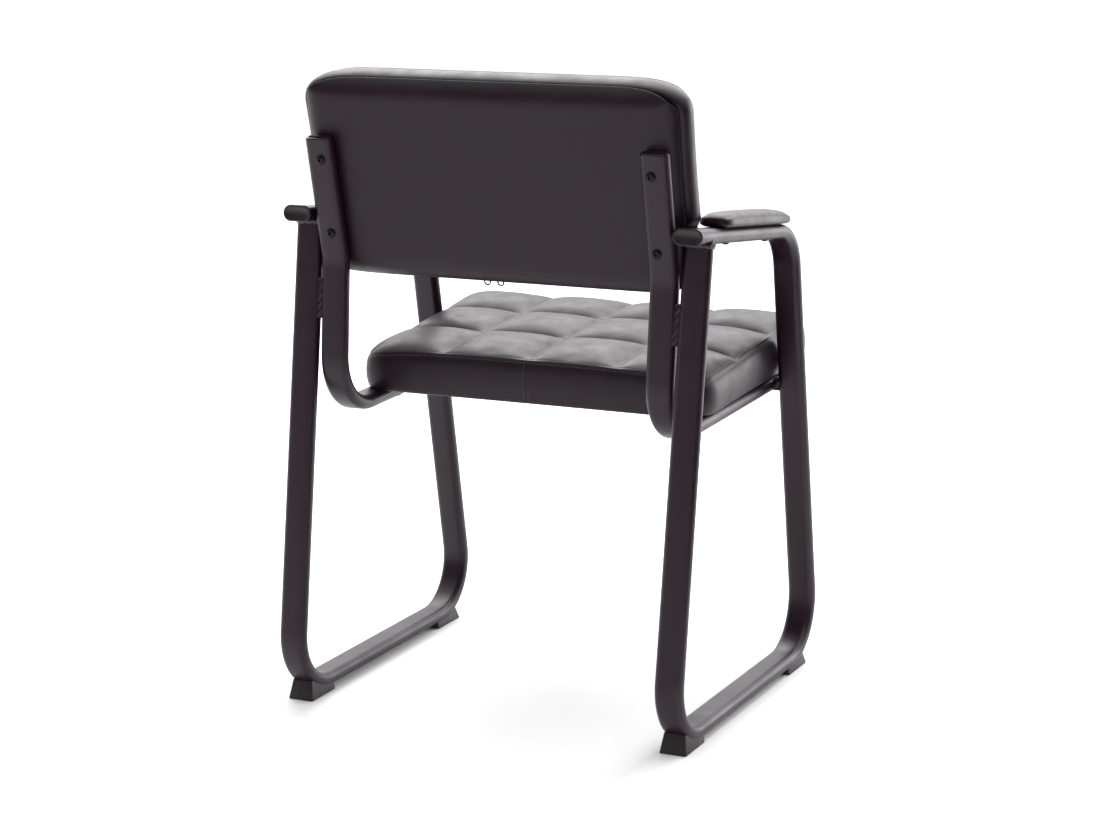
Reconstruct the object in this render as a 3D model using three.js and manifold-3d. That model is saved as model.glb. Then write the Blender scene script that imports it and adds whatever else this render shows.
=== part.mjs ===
// Sled base visitor chair.
// Two closed side loops of flat oval steel tube stand on floor glides and end in padded arms.
// Two J shaped rails of the same tube, welded inside the loops, carry a quilted seat and a padded back.
// Lengths are millimetres and angles degrees. +Z is up, +X is the sitter's left, the sitter faces -Y.

import * as THREE from 'three';
import { mergeVertices } from 'three/addons/utils/BufferGeometryUtils.js';
import Module from 'manifold-3d';

const wasm = await Module();
wasm.setup();

// Flat oval tube of the frame
const tube_width = 38;
const tube_depth = 19;
const tube_wall = 1.5;

// Side loops, measured on the centre line of the tube in side view
const base_length = 483.4;
const loop_angle = 0.43;
const rear_leg_angle = 9.15;
const front_leg_angle = 8.91;
const arm_height = 642.5;
const arm_angle = 6.8;
const arm_overhang = 36;
const arm_bend = 63;
const rear_foot_bend = 70;
const front_foot_bend = 74;

// J shaped rails, measured the same way
const rail_gap = 4;
const rail_crossing_height = 550;
const rail_lower_angle = 5.9;
const rail_kink_height = 583.8;
const rail_upper_angle = 10.98;
const rail_top_height = 747.2;
const rail_kink_bend = 80;
const rail_foot_bend = 68;
const seat_rail_height = 384.7;
const seat_rail_angle = 1.26;
const seat_rail_overhang = 40;

// Blocks welded between the rails and the loops
const rear_block_height = 534;
const rear_block_length = 52;
const rear_block_depth = 11;
const front_block_length = 15;
const block_bite = 3;

// Fits between neighbours
const rest_gap = 0.3;
const hole_clearance = 0.4;
const weld_sink = 0.6;
const cut_overrun = 4;

// Caps in the open tube ends
const cap_head = 2.4;
const cap_edge = 0.9;
const cap_plug = 14;
const arm_cap_rim = 1.2;

// Wedge glides under the four lower bends
const glide_sole = 6.1;
const glide_width = 37;
const glide_top_width = 29;
const glide_low_height = 9.8;
const glide_end_setback = 7;
const rear_glide = { length: 61, reach: 60, height: 27 };
const front_glide = { length: 64, reach: 46, height: 21 };

// Seat
const seat_width = 498;
const seat_side_gap = 3.97;
const seat_depth = 401;
const seat_setback = 103;
const seat_corner = 52;
const seat_side_draw = 3;
const seat_end_draw = 2;
const seat_seam_height = 53.2;
const seat_seam_rise = 16;
const seat_seam_rear_lift = 10.6;
const seat_crown_height = 59.1;
const seat_crown_rise = 5.4;
const seat_front_drop = 34;
const seat_front_drop_start_share = 0.45;
const seat_tile_depth = 116;
const seat_first_row = 121;
const seat_tile_rise = 8;
const seat_wall_bulge = 4;
const seat_wall_foot = 1.5;
const seat_board_inset = 7.5;
const seat_board_thickness = 12;
const seat_cover_thickness = 0.8;
const seat_cover_inset = 13;
const seat_bolt_places = [165.9, 363.3];
const seat_spacer_height = 2.7;
const seat_spacer_width = 22;

// Back
const back_side_reach = 12;
const back_height = 265;
const back_above_rail = 77;
const back_corner = 53;
const back_side_draw = 4;
const back_side_bulge = 9;
const back_end_bulge = 5;
const back_panel_padding = 6;
const back_board_thickness = 9;
const back_board_inset = 16;
const back_boxing = 35;
const back_crown = 7;
const back_tile_height = 132.5;
const back_tile_rise = 7;
const back_wall_foot = 1.5;
const back_roll_width = 30;
const back_screw_places = [26.4, 125.4];
const back_screw_inset = 2.5;

// Arm pads
const pad_length = 226;
const pad_width = 43;
const pad_gap = 0.6;
const pad_corner = 15;
const pad_seam_height = 13.5;
const pad_crown = 7;
const pad_belly_inset = 4;
const pad_wall_bulge = 1.5;
const pad_board_length = 190;
const pad_board_width = 26;
const pad_board_thickness = 6;
const pad_screw_spacing = 133;

// Fasteners
const seat_bolt = { shank: 8, head: 15, rise: 4.6, socket: 5, socket_depth: 2.6, chamfer: 0.8 };
const back_screw = { shank: 6, head: 12.5, rise: 3.6, socket: 4, socket_depth: 2.1, chamfer: 0.6 };
const pad_screw = { shank: 5, head: 9.5, rise: 3, socket: 3, socket_depth: 1.7, chamfer: 0.5 };
const seat_nut = { barrel: 11, flange: 20, flange_height: 1.8, length: 10 };
const back_nut = { barrel: 9, flange: 18, flange_height: 1.5, length: 7.6 };
const screw_end_gap = 1;

// Wire staples that close the cover under the back
const staple_wire = 1.4;
const staple_width = 7;
const staple_drop = 4.2;
const staple_bend = 3;
const staple_places = [8, 25];

// Counts
const oval_steps = 5;
const turn_steps = 12;
const wire_steps = 6;
const socket_sides = 6;
const corner_steps = 4;
const tile_columns = 4;
const tile_cells = 5;
const edge_cells = 3;
const pad_cells = 3;
const bend_step_angle = 14;

// Shares that shape the soft pieces: [outset as a share of the bulge, height as a share of the seam]
const wall_shares = [[0.55, 0.2], [1, 0.45], [0.75, 0.78]];
const pad_wall_shares = [[0.3, 0.2], [1, 0.5], [0.7, 0.8]];
const roll_shares = [[1, 0], [0.52, 0.12], [0.2, 0.42], [0.04, 0.78]];
const socket_flat_share = 0.62;
const socket_edge_share = 0.4;
const edge_rise_power = 7;
const pillow_power = 2.4;
const rear_lift_power = 4;
const front_drop_power = 2;
const pad_side_power = 2;
const pad_end_power = 4;

const half_turn = Math.PI;
const tube_radius = tube_depth / 2;
const rail_offset = tube_width + rail_gap;
const runner_height = glide_sole + rest_gap + tube_radius;
const lean_per_height = Math.tan(radians(loop_angle));

// Distance between the two loops at the floor, so that they clear the seat at the height of its rails
const base_width = seat_width + (seat_side_gap - lean_per_height * seat_rail_height) * 2 + tube_width;
const back_width = seat_width + back_side_reach * 2;
const sides = [['left', 1], ['right', -1]];

function radians(angle) {
  return THREE.MathUtils.degToRad(angle);
}

// Finishes

function enamelled_steel() {
  return new THREE.MeshStandardMaterial({ color: 0x2b2729, roughness: 0.42, metalness: 0.3 });
}

function black_plastic() {
  return new THREE.MeshStandardMaterial({ color: 0x1d1b1c, roughness: 0.55, metalness: 0 });
}

function black_leather() {
  return new THREE.MeshStandardMaterial({ color: 0x2e2a2c, roughness: 0.48, metalness: 0 });
}

function black_steel() {
  return new THREE.MeshStandardMaterial({ color: 0x242223, roughness: 0.35, metalness: 0.8 });
}

function zinc_steel() {
  return new THREE.MeshStandardMaterial({ color: 0xc9c9c6, roughness: 0.35, metalness: 0.9 });
}

function plywood() {
  return new THREE.MeshStandardMaterial({ color: 0xb99566, roughness: 0.75, metalness: 0 });
}

function lining_cloth() {
  return new THREE.MeshStandardMaterial({ color: 0x1a1a1b, roughness: 0.95, metalness: 0 });
}

// Closed bodies, joining and cutting

function closed_solid(geometry) {
  const bare = geometry.clone();
  bare.deleteAttribute('normal');
  bare.deleteAttribute('uv');
  const merged = mergeVertices(bare);
  const corners = merged.index.array;
  const kept = [];
  for (let i = 0; i < corners.length; i += 3) {
    const [a, b, c] = corners.slice(i, i + 3);
    if (a !== b && b !== c && c !== a) kept.push(a, b, c);
  }
  return new wasm.Manifold(new wasm.Mesh({
    numProp: 3,
    vertProperties: merged.attributes.position.array,
    triVerts: Uint32Array.from(kept),
  }));
}

function solid_geometry(solid) {
  const mesh = solid.getMesh();
  const geometry = new THREE.BufferGeometry();
  geometry.setAttribute('position', new THREE.BufferAttribute(mesh.vertProperties, mesh.numProp));
  geometry.setIndex(new THREE.BufferAttribute(mesh.triVerts, 1));
  return geometry;
}

function cut(geometry, cutters) {
  let solid = closed_solid(geometry);
  for (const cutter of cutters) {
    solid = solid.subtract(closed_solid(cutter));
  }
  return solid_geometry(solid);
}

function join(geometry, added) {
  return solid_geometry(closed_solid(geometry).add(closed_solid(added)));
}

function add_piece(parent, name, geometry, finish) {
  const piece = new THREE.Mesh(geometry, finish);
  piece.name = name;
  piece.geometry.computeVertexNormals();
  parent.add(piece);
  return piece;
}

// A surface collected face by face

class Skin {
  constructor() {
    this.corners = [];
  }

  face(a, b, c) {
    this.corners.push(a, b, c);
  }

  // Strip between two rings of equal count, the lower one first
  band(lower, upper) {
    for (let i = 0; i < lower.length; i += 1) {
      const next = (i + 1) % lower.length;
      this.face(lower[i], lower[next], upper[next]);
      this.face(lower[i], upper[next], upper[i]);
    }
  }

  fan(ring, facing_up) {
    const centre = new THREE.Vector3();
    ring.forEach((point) => centre.add(point));
    centre.divideScalar(ring.length);
    for (let i = 0; i < ring.length; i += 1) {
      const next = (i + 1) % ring.length;
      if (facing_up) this.face(centre, ring[i], ring[next]);
      else this.face(centre, ring[next], ring[i]);
    }
  }

  geometry() {
    return new THREE.BufferGeometry().setFromPoints(this.corners);
  }
}

// Rings stacked from the lowest to the highest and closed at both ends
function stacked(rings) {
  const skin = new Skin();
  skin.fan(rings[0], false);
  for (let i = 1; i < rings.length; i += 1) {
    skin.band(rings[i - 1], rings[i]);
  }
  skin.fan(rings[rings.length - 1], true);
  return skin.geometry();
}

// Outline moved outward by a distance in x and in y, or inward by a negative one
function outset(outline, distance, distance_y = distance) {
  return outline.map((point, i) => {
    const before = outline[(i + outline.length - 1) % outline.length];
    const after = outline[(i + 1) % outline.length];
    const run = after.clone().sub(before).normalize();
    return new THREE.Vector2(point.x + run.y * distance, point.y - run.x * distance_y);
  });
}

function at_level(outline, height) {
  return outline.map((point) => new THREE.Vector3(point.x, point.y, height));
}

// Flat oval outline with two straight sides and two half round ends
function oval(width, depth) {
  const nose = depth / 2;
  const reach = width / 2 - nose;
  const points = [];
  for (const [centre, start] of [[reach, -half_turn / 2], [-reach, half_turn / 2]]) {
    for (let i = 0; i <= oval_steps; i += 1) {
      const angle = start + half_turn * i / oval_steps;
      points.push(new THREE.Vector2(centre + nose * Math.cos(angle), nose * Math.sin(angle)));
    }
  }
  return points;
}

// Rectangle with round corners
function rounded_outline(width, length, corner) {
  const points = [];
  [[1, -1], [1, 1], [-1, 1], [-1, -1]].forEach(([x, y], quarter) => {
    for (let i = 0; i <= corner_steps; i += 1) {
      const angle = half_turn / 2 * (quarter - 1 + i / corner_steps);
      points.push(new THREE.Vector2(
        x * (width / 2 - corner) + corner * Math.cos(angle),
        y * (length / 2 - corner) + corner * Math.sin(angle),
      ));
    }
  });
  return points;
}

// Tubes

// Centre line of straight runs with round bends at its inner corners
class BentLine extends THREE.Curve {
  constructor(corners, bends) {
    super();
    this.points = [corners[0]];
    this.headings = [corners[1].clone().sub(corners[0]).normalize()];
    bends.forEach((bend, i) => this.turn(corners[i], corners[i + 1], corners[i + 2], bend));
    const last = corners[corners.length - 1];
    this.points.push(last);
    this.headings.push(last.clone().sub(corners[corners.length - 2]).normalize());
    this.steps = this.points.length - 1;
  }

  turn(from, corner, to, bend) {
    const before = corner.clone().sub(from).normalize();
    const after = to.clone().sub(corner).normalize();
    const angle = before.angleTo(after);
    const axis = before.clone().cross(after).normalize();
    const start = corner.clone().addScaledVector(before, -bend * Math.tan(angle / 2));
    const centre = start.clone().addScaledVector(axis.clone().cross(before), bend);
    const count = Math.ceil(angle / radians(bend_step_angle));
    for (let i = 0; i <= count; i += 1) {
      const turned = angle * i / count;
      const arm = start.clone().sub(centre).applyAxisAngle(axis, turned);
      this.points.push(centre.clone().add(arm));
      this.headings.push(before.clone().applyAxisAngle(axis, turned));
    }
  }

  getPointAt(share, target = new THREE.Vector3()) {
    return target.copy(this.points[Math.round(share * this.steps)]);
  }

  getTangentAt(share, target = new THREE.Vector3()) {
    return target.copy(this.headings[Math.round(share * this.steps)]);
  }
}

// Bar or tube of the frame's oval section along a line, its outside grown by a distance
function oval_bar(line, growth) {
  const outline = oval(tube_width + growth * 2, tube_depth + growth * 2);
  return new THREE.ExtrudeGeometry(new THREE.Shape(outline), { steps: line.steps, extrudePath: line });
}

function oval_tube(line) {
  const section = new THREE.Shape(oval(tube_width, tube_depth));
  section.holes.push(new THREE.Path(oval(tube_width - tube_wall * 2, tube_depth - tube_wall * 2)));
  return new THREE.ExtrudeGeometry(section, { steps: line.steps, extrudePath: line });
}

// Side view lines: each is a point and a direction in the plane x = 0

function side_point(y, z) {
  return new THREE.Vector3(0, y, z);
}

function upright(point, backward_lean) {
  const angle = radians(backward_lean);
  return { point, direction: side_point(Math.sin(angle), Math.cos(angle)) };
}

function forward(point, rise) {
  const angle = radians(rise);
  return { point, direction: side_point(-Math.cos(angle), Math.sin(angle)) };
}

function along(line, distance) {
  return line.point.clone().addScaledVector(line.direction, distance);
}

function at_height(line, height) {
  return along(line, (height - line.point.z) / line.direction.z);
}

function crossing(a, b) {
  const gap = b.point.clone().sub(a.point);
  const across = a.direction.y * b.direction.z - a.direction.z * b.direction.y;
  return along(a, (gap.y * b.direction.z - gap.z * b.direction.y) / across);
}

const rear_foot = side_point(base_length / 2, runner_height);
const front_foot = side_point(-base_length / 2, runner_height);
const rear_leg = upright(rear_foot, -rear_leg_angle);
const front_leg = upright(front_foot, front_leg_angle);
const arm = forward(at_height(rear_leg, arm_height), -arm_angle);
const rail_lower = upright(at_height(rear_leg, rail_crossing_height), -rail_lower_angle);
const rail_kink = at_height(rail_lower, rail_kink_height);
const rail_upper = upright(rail_kink, rail_upper_angle);
const rail_top = at_height(rail_upper, rail_top_height);
const seat_rail = forward(at_height(rail_lower, seat_rail_height), seat_rail_angle);
const seat_rail_cross = crossing(seat_rail, front_leg);
const seat_rail_length = seat_rail_cross.distanceTo(seat_rail.point) + seat_rail_overhang;
const seat_rail_end = along(seat_rail, seat_rail_length);

// The loop runs from the arm's rear end round to the middle of the rear leg, where the upper half joins
const arm_rear_end = along(arm, -arm_overhang);
const arm_corner = crossing(arm, front_leg);
const arm_middle = arm.point.clone().add(arm_corner).divideScalar(2);
const leg_middle = at_height(rear_leg, arm_height / 2);
const loop_corners = [arm_rear_end, arm_corner, front_foot, rear_foot, leg_middle];
const loop_line = new BentLine(loop_corners, [arm_bend, front_foot_bend, rear_foot_bend]);
const leg_line = new BentLine([leg_middle, arm.point], []);
const arm_line = new BentLine([arm_rear_end, arm_middle], []);
const rail_line = new BentLine(
  [rail_top, rail_kink, seat_rail.point, seat_rail_end],
  [rail_kink_bend, rail_foot_bend],
);

// Distance of a tube's centre from the middle of the chair
function loop_x(height) {
  return base_width / 2 + lean_per_height * height;
}

function rail_x(height) {
  return loop_x(height) - rail_offset;
}

// Moves a piece from the plane x = 0 to its side and leans it outward with the loop
function on_side(geometry, side, inward) {
  const lean = side * lean_per_height;
  const shift = side * (base_width / 2 - inward);
  const leaned = new THREE.Matrix4().makeShear(0, 0, 0, 0, lean, 0);
  return geometry.applyMatrix4(leaned.setPosition(shift, 0, 0));
}

// Turned pieces stand on the Z axis

function turned(profile) {
  const points = profile.map(([radius, height]) => new THREE.Vector2(radius, height));
  return new THREE.LatheGeometry(points, turn_steps).rotateX(half_turn / 2);
}

function rod(diameter, from, to) {
  const radius = diameter / 2;
  return turned([[0, from], [radius, from], [radius, to], [0, to]]);
}

// Button head screw with a hex socket, its head under z = 0 and its shank up
function socket_screw(size, length) {
  const head = size.head / 2;
  const shank = size.shank / 2;
  const body = turned([
    [0, -size.rise],
    [head * socket_flat_share, -size.rise],
    [head, -size.rise * socket_edge_share],
    [head, 0],
    [shank, 0],
    [shank, length - size.chamfer],
    [shank - size.chamfer, length],
    [0, length],
  ]);
  const socket_radius = size.socket / Math.sqrt(3);
  const socket_height = size.socket_depth + cut_overrun;
  const socket = new THREE.CylinderGeometry(socket_radius, socket_radius, socket_height, socket_sides);
  socket.rotateX(half_turn / 2).translate(0, 0, size.socket_depth - size.rise - socket_height / 2);
  return cut(body, [socket]);
}

// Tee nut with its flange on top at z = 0 and its barrel down, round a screw of the given shank
function tee_nut(size, shank) {
  const bore = shank / 2 + rest_gap;
  const barrel = size.barrel / 2;
  const flange = size.flange / 2;
  return turned([
    [bore, -size.length],
    [barrel, -size.length],
    [barrel, -size.flange_height],
    [flange, -size.flange_height],
    [flange, 0],
    [bore, 0],
    [bore, -size.length],
  ]);
}

// Stepped hole for a tee nut through a board whose top is z = 0
function tee_nut_hole(size, board_thickness) {
  const barrel = size.barrel / 2 + rest_gap;
  const flange = size.flange / 2 + rest_gap;
  const recess = size.flange_height + rest_gap;
  return turned([
    [0, -board_thickness - cut_overrun],
    [barrel, -board_thickness - cut_overrun],
    [barrel, -recess],
    [flange, -recess],
    [flange, cut_overrun],
    [0, cut_overrun],
  ]);
}

// Soft pieces are laid out on a square of shares u, v from -1 to 1, drawn on a rounded plan

// A rounded rectangle whose sides draw in between the corners
function rounded_plan(size) {
  const half_x = size.width / 2;
  const half_y = size.length / 2;
  return (u, v) => {
    const ring = Math.max(Math.abs(u), Math.abs(v));
    const corner = size.corner * ring;
    const core_x = half_x * ring - corner;
    const core_y = half_y * ring - corner;
    const over_x = Math.max(Math.abs(u) * half_x - core_x, 0);
    const over_y = Math.max(Math.abs(v) * half_y - core_y, 0);
    const point = new THREE.Vector2(u * half_x, v * half_y);
    if (over_x > 0 && over_y > 0) {
      const pull = corner / Math.hypot(over_x, over_y);
      point.set(Math.sign(u) * (core_x + over_x * pull), Math.sign(v) * (core_y + over_y * pull));
    }
    const draw_x = size.side_draw * Math.max(1 - (point.y / half_y) ** 2, 0);
    const draw_y = size.end_draw * Math.max(1 - (point.x / half_x) ** 2, 0);
    point.x -= point.x / half_x * draw_x;
    point.y -= point.y / half_y * draw_y;
    return point;
  };
}

// Border of the plan, counterclockwise, through the given columns and rows
function plan_border(plan, columns, rows) {
  const border = [];
  columns.slice(0, -1).forEach((u) => border.push([u, -1]));
  rows.slice(0, -1).forEach((v) => border.push([1, v]));
  columns.slice(1).reverse().forEach((u) => border.push([u, 1]));
  rows.slice(1).reverse().forEach((v) => border.push([-1, v]));
  return border.map(([u, v]) => plan(u, v));
}

// Shares at the given lines and evenly between them; the last count serves all further gaps
function spread(lines, counts) {
  const shares = [lines[0]];
  for (let i = 1; i < lines.length; i += 1) {
    const count = counts[Math.min(i, counts.length) - 1];
    for (let k = 1; k <= count; k += 1) {
      shares.push(THREE.MathUtils.lerp(lines[i - 1], lines[i], k / count));
    }
  }
  return shares;
}

// Cushion on z = 0: walls swell between the flat underside and the seam, the top is drawn by a function
function cushion(size, columns, rows, top) {
  const plan = rounded_plan(size);
  const skin = new Skin();
  const grid = rows.map((v) => columns.map((u) => {
    const point = plan(u, v);
    return new THREE.Vector3(point.x, point.y, top(u, v, point));
  }));
  const across = columns.length - 1;
  const up = rows.length - 1;
  for (let j = 0; j < up; j += 1) {
    for (let i = 0; i < across; i += 1) {
      const [a, b] = [grid[j][i], grid[j][i + 1]];
      const [d, c] = [grid[j + 1][i], grid[j + 1][i + 1]];
      const falling = (i < across / 2) === (j < up / 2);
      if (falling) {
        skin.face(a, b, d);
        skin.face(b, c, d);
      } else {
        skin.face(a, b, c);
        skin.face(a, c, d);
      }
    }
  }
  const seam = [
    ...grid[0].slice(0, -1),
    ...grid.slice(0, -1).map((row) => row[across]),
    ...grid[up].slice(1).reverse(),
    ...grid.slice(1).reverse().map((row) => row[0]),
  ];
  const outline = seam.map((point) => new THREE.Vector2(point.x, point.y));
  const rings = [at_level(outset(outline, -size.foot), 0)];
  for (const [bulge_share, height_share] of size.walls) {
    const wall = outset(outline, size.side_bulge * bulge_share, size.end_bulge * bulge_share);
    rings.push(wall.map((point, i) => new THREE.Vector3(point.x, point.y, seam[i].z * height_share)));
  }
  rings.push(seam);
  skin.fan(rings[0], false);
  for (let i = 1; i < rings.length; i += 1) {
    skin.band(rings[i - 1], rings[i]);
  }
  return skin.geometry();
}

// Stitched lines between equal columns of tiles, edges included
function column_lines(width) {
  const lines = [];
  for (let i = 0; i <= tile_columns; i += 1) {
    lines.push(width * (i / tile_columns - 1 / 2));
  }
  return lines;
}

// Height share of a sewn tile that swells between its four stitched sides
function pillow(from_left, from_front) {
  const x = 1 - Math.abs(from_left * 2 - 1) ** pillow_power;
  const y = 1 - Math.abs(from_front * 2 - 1) ** pillow_power;
  return x * y;
}

// Place of a value between the two neighbouring lines, from 0 to 1
function between(lines, value) {
  for (let i = 1; i < lines.length; i += 1) {
    if (value <= lines[i]) {
      return Math.max((value - lines[i - 1]) / (lines[i] - lines[i - 1]), 0);
    }
  }
  return 1;
}

function edge_share(u, v) {
  return 1 - Math.max(Math.abs(u), Math.abs(v)) ** edge_rise_power;
}

function flat_board(outline, thickness) {
  return stacked([at_level(outline, 0), at_level(outline, thickness)]);
}

// Outline of a board that stays inside a soft piece by an inset
function inset_outline(size, inset) {
  return rounded_outline(size.width - inset * 2, size.length - inset * 2, size.corner - inset);
}

// Frame pieces

function side_loop(side, cutters) {
  const lower = oval_tube(loop_line);
  const leg = cut(oval_tube(leg_line), [oval_bar(arm_line, -weld_sink)]);
  return cut(on_side(join(lower, leg), side, 0), cutters);
}

function rail(side, cutters) {
  return cut(on_side(oval_tube(rail_line), side, rail_offset), cutters);
}

function end_cap(point, direction, side, inward, rim = 0) {
  const mouth = oval(tube_width, tube_depth);
  const outline = outset(mouth, rim);
  const plug = outset(mouth, -tube_wall - rest_gap);
  const cap = stacked([
    at_level(plug, -cap_plug),
    at_level(plug, rest_gap),
    at_level(outline, rest_gap),
    at_level(outline, cap_head - cap_edge),
    at_level(outset(outline, -cap_edge), cap_head),
  ]);
  const across = new THREE.Vector3(1, 0, 0);
  const facing = new THREE.Matrix4().makeBasis(across, direction.clone().cross(across), direction);
  return on_side(cap.applyMatrix4(facing.setPosition(point)), side, inward);
}

function block(size, point, lean, side) {
  const body = new THREE.BoxGeometry(rail_gap + block_bite * 2, size.depth, size.length);
  body.rotateX(radians(lean));
  body.translate(-side * (tube_width + rail_gap) / 2, point.y, point.z);
  const beside = oval_bar(rail_line, rest_gap).translate(-side * rail_offset, 0, 0);
  const bars = [oval_bar(loop_line, rest_gap), oval_bar(leg_line, rest_gap), beside];
  return on_side(cut(body, bars), side, 0);
}

// Wedge glide: the sole lies on the floor, the top follows the tube, the tall end is under the bend
function glide(size, foot, bend, leg_lean, toward, side) {
  const bend_turn = half_turn / 2 + radians(leg_lean);
  const bend_start = foot.y - toward * bend * Math.tan(bend_turn / 2);
  const tall_end = bend_start + toward * size.reach;
  const low_end = tall_end - toward * size.length;
  const profile = new THREE.Shape([
    new THREE.Vector2(low_end, 0),
    new THREE.Vector2(tall_end, 0),
    new THREE.Vector2(tall_end - toward * glide_end_setback, size.height),
    new THREE.Vector2(low_end, glide_low_height),
  ]);
  const body = new THREE.ExtrudeGeometry(profile, { depth: glide_width, bevelEnabled: false });
  body.translate(0, 0, -glide_width / 2);
  body.applyMatrix4(new THREE.Matrix4().set(0, 0, 1, 0, 1, 0, 0, 0, 0, 1, 0, 0, 0, 0, 0, 1));
  const places = body.attributes.position;
  const narrowing_share = 1 - glide_top_width / glide_width;
  for (let i = 0; i < places.count; i += 1) {
    places.setX(i, places.getX(i) * (1 - narrowing_share * places.getZ(i) / size.height));
  }
  return on_side(cut(body, [oval_bar(loop_line, rest_gap)]), side, 0);
}

// Frames that carry the turned groups

function turned_group(point, angle) {
  const group = new THREE.Group();
  group.position.copy(point);
  group.rotation.x = radians(angle);
  group.updateMatrix();
  return group;
}

// Point of a forward line raised square to it
function raised(point, line, distance) {
  const square = side_point(line.direction.z, -line.direction.y);
  return point.clone().addScaledVector(square, distance);
}

const chair = new THREE.Group();
const seat_face = raised(seat_rail.point, seat_rail, tube_radius);
const seat_group = turned_group(seat_face, -seat_rail_angle);
const back_group = turned_group(rail_top, -rail_upper_angle);

// Seat, laid out from the rear corner of the rails, z = 0 on top of the rails

const seat_centre = -seat_setback - seat_depth / 2;
const seat_cover_base = seat_spacer_height + rest_gap;
const seat_base = seat_cover_base + seat_cover_thickness + rest_gap;
const seat_board_top = seat_base + seat_board_thickness;
const seat_plan = {
  width: seat_width,
  length: seat_depth,
  corner: seat_corner,
  side_draw: seat_side_draw,
  end_draw: seat_end_draw,
  side_bulge: seat_wall_bulge,
  end_bulge: seat_wall_bulge,
  foot: seat_wall_foot,
  walls: wall_shares,
};

function seat_tile_lines() {
  const columns = column_lines(seat_width);
  const rows = [seat_depth / 2];
  for (let y = seat_depth / 2 - seat_first_row; y > -seat_depth / 2; y -= seat_tile_depth) {
    rows.unshift(y);
  }
  rows.unshift(-seat_depth / 2);
  return { columns, rows };
}

function seat_top(lines) {
  return (u, v, point) => {
    const drop_share = Math.max((-v - seat_front_drop_start_share) / (1 - seat_front_drop_start_share), 0);
    const drop = seat_front_drop * drop_share ** front_drop_power;
    const lift = seat_seam_rear_lift * (1 - u ** rear_lift_power) * Math.max(v, 0) ** rear_lift_power;
    const seam = seat_seam_height - seat_seam_rise * v + lift - drop;
    const crown = seat_crown_height - seat_crown_rise * v - drop;
    const tile = pillow(between(lines.columns, point.x), between(lines.rows, point.y));
    return seam + (crown - seam) * edge_share(u, v) + seat_tile_rise * tile;
  };
}

function make_seat() {
  const lines = seat_tile_lines();
  const columns = spread(lines.columns.map((x) => x * 2 / seat_width), [tile_cells]);
  const rows = spread(lines.rows.map((y) => y * 2 / seat_depth), [edge_cells, tile_cells]);
  const board_outline = inset_outline(seat_plan, seat_board_inset);
  const pad = cushion(seat_plan, columns, rows, seat_top(lines));
  const pocket = flat_board(outset(board_outline, rest_gap), seat_board_thickness + rest_gap + cut_overrun);
  const padding = cut(pad, [pocket.translate(0, 0, -cut_overrun)]);
  padding.translate(0, seat_centre, seat_base);
  add_piece(seat_group, 'seat_cushion', padding, black_leather());

  const places = [];
  for (const [, side] of sides) {
    for (const place of seat_bolt_places) {
      places.push(new THREE.Vector3(side * rail_x(seat_face.z), -place, 0));
    }
  }
  const board = flat_board(board_outline, seat_board_thickness).translate(0, seat_centre, seat_base);
  const nut_holes = places.map(({ x, y }) => {
    return tee_nut_hole(seat_nut, seat_board_thickness).translate(x, y, seat_board_top);
  });
  add_piece(seat_group, 'seat_board', cut(board, nut_holes), plywood());

  const cover = flat_board(inset_outline(seat_plan, seat_cover_inset), seat_cover_thickness);
  cover.translate(0, seat_centre, seat_cover_base);
  const cover_holes = places.map(({ x, y }) => {
    return rod(seat_bolt.shank + hole_clearance * 2, 0, seat_base + cut_overrun).translate(x, y, 0);
  });
  add_piece(seat_group, 'seat_dust_cover', cut(cover, cover_holes), lining_cloth());

  const bolt_base = -tube_depth - rest_gap;
  const bolt_length = seat_board_top - screw_end_gap - bolt_base;
  const names = ['left_rear', 'left_front', 'right_rear', 'right_front'];
  places.forEach(({ x, y }, i) => {
    const bolt = socket_screw(seat_bolt, bolt_length).translate(x, y, bolt_base);
    add_piece(seat_group, `${names[i]}_seat_bolt`, bolt, black_steel());
    const nut = tee_nut(seat_nut, seat_bolt.shank).translate(x, y, seat_board_top);
    add_piece(seat_group, `${names[i]}_seat_tee_nut`, nut, zinc_steel());
    const washer = turned([
      [seat_bolt.shank / 2 + rest_gap, rest_gap],
      [seat_spacer_width / 2, rest_gap],
      [seat_spacer_width / 2, seat_spacer_height],
      [seat_bolt.shank / 2 + rest_gap, seat_spacer_height],
      [seat_bolt.shank / 2 + rest_gap, rest_gap],
    ]);
    add_piece(seat_group, `${names[i]}_seat_spacer`, washer.translate(x, y, 0), zinc_steel());
  });
  return places.map(({ x, y }) => {
    const hole = rod(seat_bolt.shank + hole_clearance * 2, bolt_base - cut_overrun, cut_overrun);
    return hole.translate(x, y, 0).applyMatrix4(seat_group.matrix);
  });
}

// Back, laid out from the top of the rails, with its front toward -y

const back_centre = back_above_rail - back_height / 2;
const back_panel_face = tube_radius + rest_gap;
const back_board_face = back_panel_face + back_panel_padding + rest_gap;
const back_panel_depth = back_panel_padding + rest_gap + back_board_thickness + rest_gap;
const back_cushion_face = back_panel_face + back_panel_depth + rest_gap;
const back_plan = {
  width: back_width,
  length: back_height,
  corner: back_corner,
  side_draw: back_side_draw,
  end_draw: 0,
  side_bulge: back_side_bulge,
  end_bulge: back_end_bulge,
  foot: back_wall_foot,
  walls: wall_shares,
};

// Lays a piece drawn flat, its height toward the front, upright at a depth behind the front
function upright_on_back(geometry, depth) {
  return geometry.rotateX(half_turn / 2).translate(0, -depth, back_centre);
}

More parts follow.
